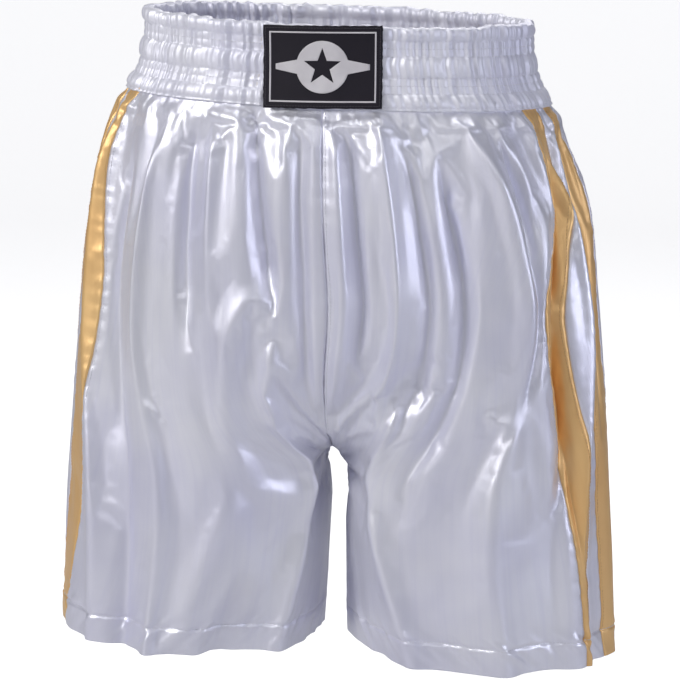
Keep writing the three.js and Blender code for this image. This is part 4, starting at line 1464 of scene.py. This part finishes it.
def lighting():
    """A large key light from the front left, a weak one from the front, a cool fill from the
    right, a top light and a back light, in a dim room that the camera sees as bright."""
    middle = (0.0, 0.0, -0.24)
    soft_light("Key", (-1.9, -1.8, 1.0), middle, 0.85, 36.0, (1.0, 0.985, 0.97))
    soft_light("Front", (0.6, -3.0, 1.2), middle, 0.6, 8.0, (1.0, 1.0, 1.0))
    soft_light("Fill", (2.2, -0.8, 0.1), middle, 0.7, 10.0, (0.84, 0.86, 1.0))
    soft_light("Top", (0.0, -0.4, 2.1), middle, 0.8, 12.0, (1.0, 1.0, 1.0))
    soft_light("Back", (0.3, 1.5, 1.2), (0.0, 0.0, -0.05), 0.9, 9.0, (1.0, 0.99, 0.97))
    world = bpy.data.worlds.new("Studio")
    bpy.context.scene.world = world
    world.use_nodes = True
    nodes = Nodes(world.node_tree)
    seen = nodes.add("LightPath").outputs["Is Camera Ray"]
    strength = nodes.math("MULTIPLY_ADD", seen, 0.82, 0.18)
    room = nodes.add("Background", Strength=strength)
    room.inputs["Color"].default_value = (0.88, 0.90, 1.0, 1.0)
    nodes.feed(nodes.add("OutputWorld").inputs["Surface"], room.outputs[0])


def camera():
    """A long lens at the height of the badge, a few degrees to the wearer's left."""
    s = sizes().stage
    data = bpy.data.cameras.new("Camera")
    data.angle = s.view_angle
    data.clip_end = 50.0
    across, ahead = s.distance * math.sin(s.turn), -s.distance * math.cos(s.turn)
    place_at = Vector((across, ahead, s.camera_height))
    aim = Vector((0.001, 0.0, s.aim_height))
    view = bpy.data.objects.new("Camera", data)
    view.location = place_at
    view.rotation_euler = (aim - place_at).to_track_quat("-Z", "Y").to_euler()
    bpy.context.scene.collection.objects.link(view)
    bpy.context.scene.camera = view


# ------------------------------------------------------------------ operators


class SHORTS_OT_panels(Operator):
    """Sew the two front and the two back panels"""

    bl_idname = "shorts.panels"
    bl_label = "Sew the panels"

    def execute(self, context):
        for leg in SIDES:
            front, back = stripe_seam(leg, 0), stripe_seam(leg, 3)
            name = f"front_{leg}_panel"
            cloth_piece(leg, name, first_seam, front, 130, "white_satin")
            name = f"back_{leg}_panel"
            cloth_piece(leg, name, back, last_seam, 150, "white_satin")
        return {"FINISHED"}


class SHORTS_OT_stripes(Operator):
    """Sew the gold, white and gold strips down each side"""

    bl_idname = "shorts.stripes"
    bl_label = "Sew the side stripes"

    def execute(self, context):
        strips = (
            ("front_gold", 0, 20, "gold_satin"),
            ("white", 1, 14, "white_satin"),
            ("rear_gold", 2, 20, "gold_satin"),
        )
        for leg in SIDES:
            for label, k, columns, slot in strips:
                start, end = stripe_seam(leg, k), stripe_seam(leg, k + 1)
                cloth_piece(leg, f"{leg}_{label}_stripe", start, end, columns, slot)
        return {"FINISHED"}


class SHORTS_OT_waistband(Operator):
    """Gather the satin casing on its elastic"""

    bl_idname = "shorts.waistband"
    bl_label = "Gather the waistband"

    def execute(self, context):
        waistband_piece(finish("band_satin"))
        elastic_piece(finish("elastic_weave"))
        return {"FINISHED"}


class SHORTS_OT_band_stitching(Operator):
    """Stitch the rows round the waistband"""

    bl_idname = "shorts.band_stitching"
    bl_label = "Stitch the waistband"

    def execute(self, context):
        band_stitches(finish("white_thread"))
        return {"FINISHED"}


class SHORTS_OT_seam_stitching(Operator):
    """Topstitch the side stripes, the rises, the inseams and the hems"""

    bl_idname = "shorts.seam_stitching"
    bl_label = "Stitch the seams and hems"

    def execute(self, context):
        for leg in SIDES:
            seam_stitches(leg, finish("white_thread"), finish("gold_thread"))
        inner_stitches(finish("white_thread"))
        hem_stitches(finish("white_thread"))
        return {"FINISHED"}


class SHORTS_OT_badge(Operator):
    """Weave the badge with its border and emblem, and sew it on"""

    bl_idname = "shorts.badge"
    bl_label = "Weave the badge"

    def execute(self, context):
        badge_backing(finish("black_weave"))
        badge_border(finish("pale_weave"))
        badge_emblem(finish("pale_weave"))
        badge_stitches(finish("black_thread"))
        return {"FINISHED"}


class SHORTS_OT_care_tag(Operator):
    """Hang the blank care tag inside the back"""

    bl_idname = "shorts.care_tag"
    bl_label = "Hang the care tag"

    def execute(self, context):
        care_tag(finish("tag_weave"))
        return {"FINISHED"}


class SHORTS_OT_stage(Operator):
    """Set up the paper backdrop, the lights and the camera"""

    bl_idname = "shorts.stage"
    bl_label = "Set the stage"

    def execute(self, context):
        context.scene.view_settings.view_transform = "Standard"
        backdrop()
        lighting()
        camera()
        return {"FINISHED"}


STEPS = (
    SHORTS_OT_panels,
    SHORTS_OT_stripes,
    SHORTS_OT_waistband,
    SHORTS_OT_band_stitching,
    SHORTS_OT_seam_stitching,
    SHORTS_OT_badge,
    SHORTS_OT_care_tag,
    SHORTS_OT_stage,
)


class SHORTS_PT_dressmaker(Panel):
    """The steps of making the shorts, in order"""

    bl_label = "Boxing Shorts"
    bl_idname = "SHORTS_PT_dressmaker"
    bl_space_type = "VIEW_3D"
    bl_region_type = "UI"
    bl_category = "Shorts"

    def draw(self, context):
        for step in STEPS:
            self.layout.operator(step.bl_idname)


GROUPS = (
    BodySizes, BandSizes, DrapeSettings, SewingSizes, BadgeSizes, Finishes, StageSettings, ShortsSettings
)
CLASSES = (*GROUPS, *STEPS, SHORTS_PT_dressmaker)


def register():
    for item in CLASSES:
        bpy.utils.register_class(item)
    bpy.types.Scene.boxing_shorts = PointerProperty(type=ShortsSettings)


def unregister():
    del bpy.types.Scene.boxing_shorts
    for item in reversed(CLASSES):
        bpy.utils.unregister_class(item)


def main():
    """Registers the add-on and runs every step."""
    register()
    for step in STEPS:
        getattr(bpy.ops.shorts, step.bl_idname.split(".")[1])()


if __name__ == "__main__":
    main()
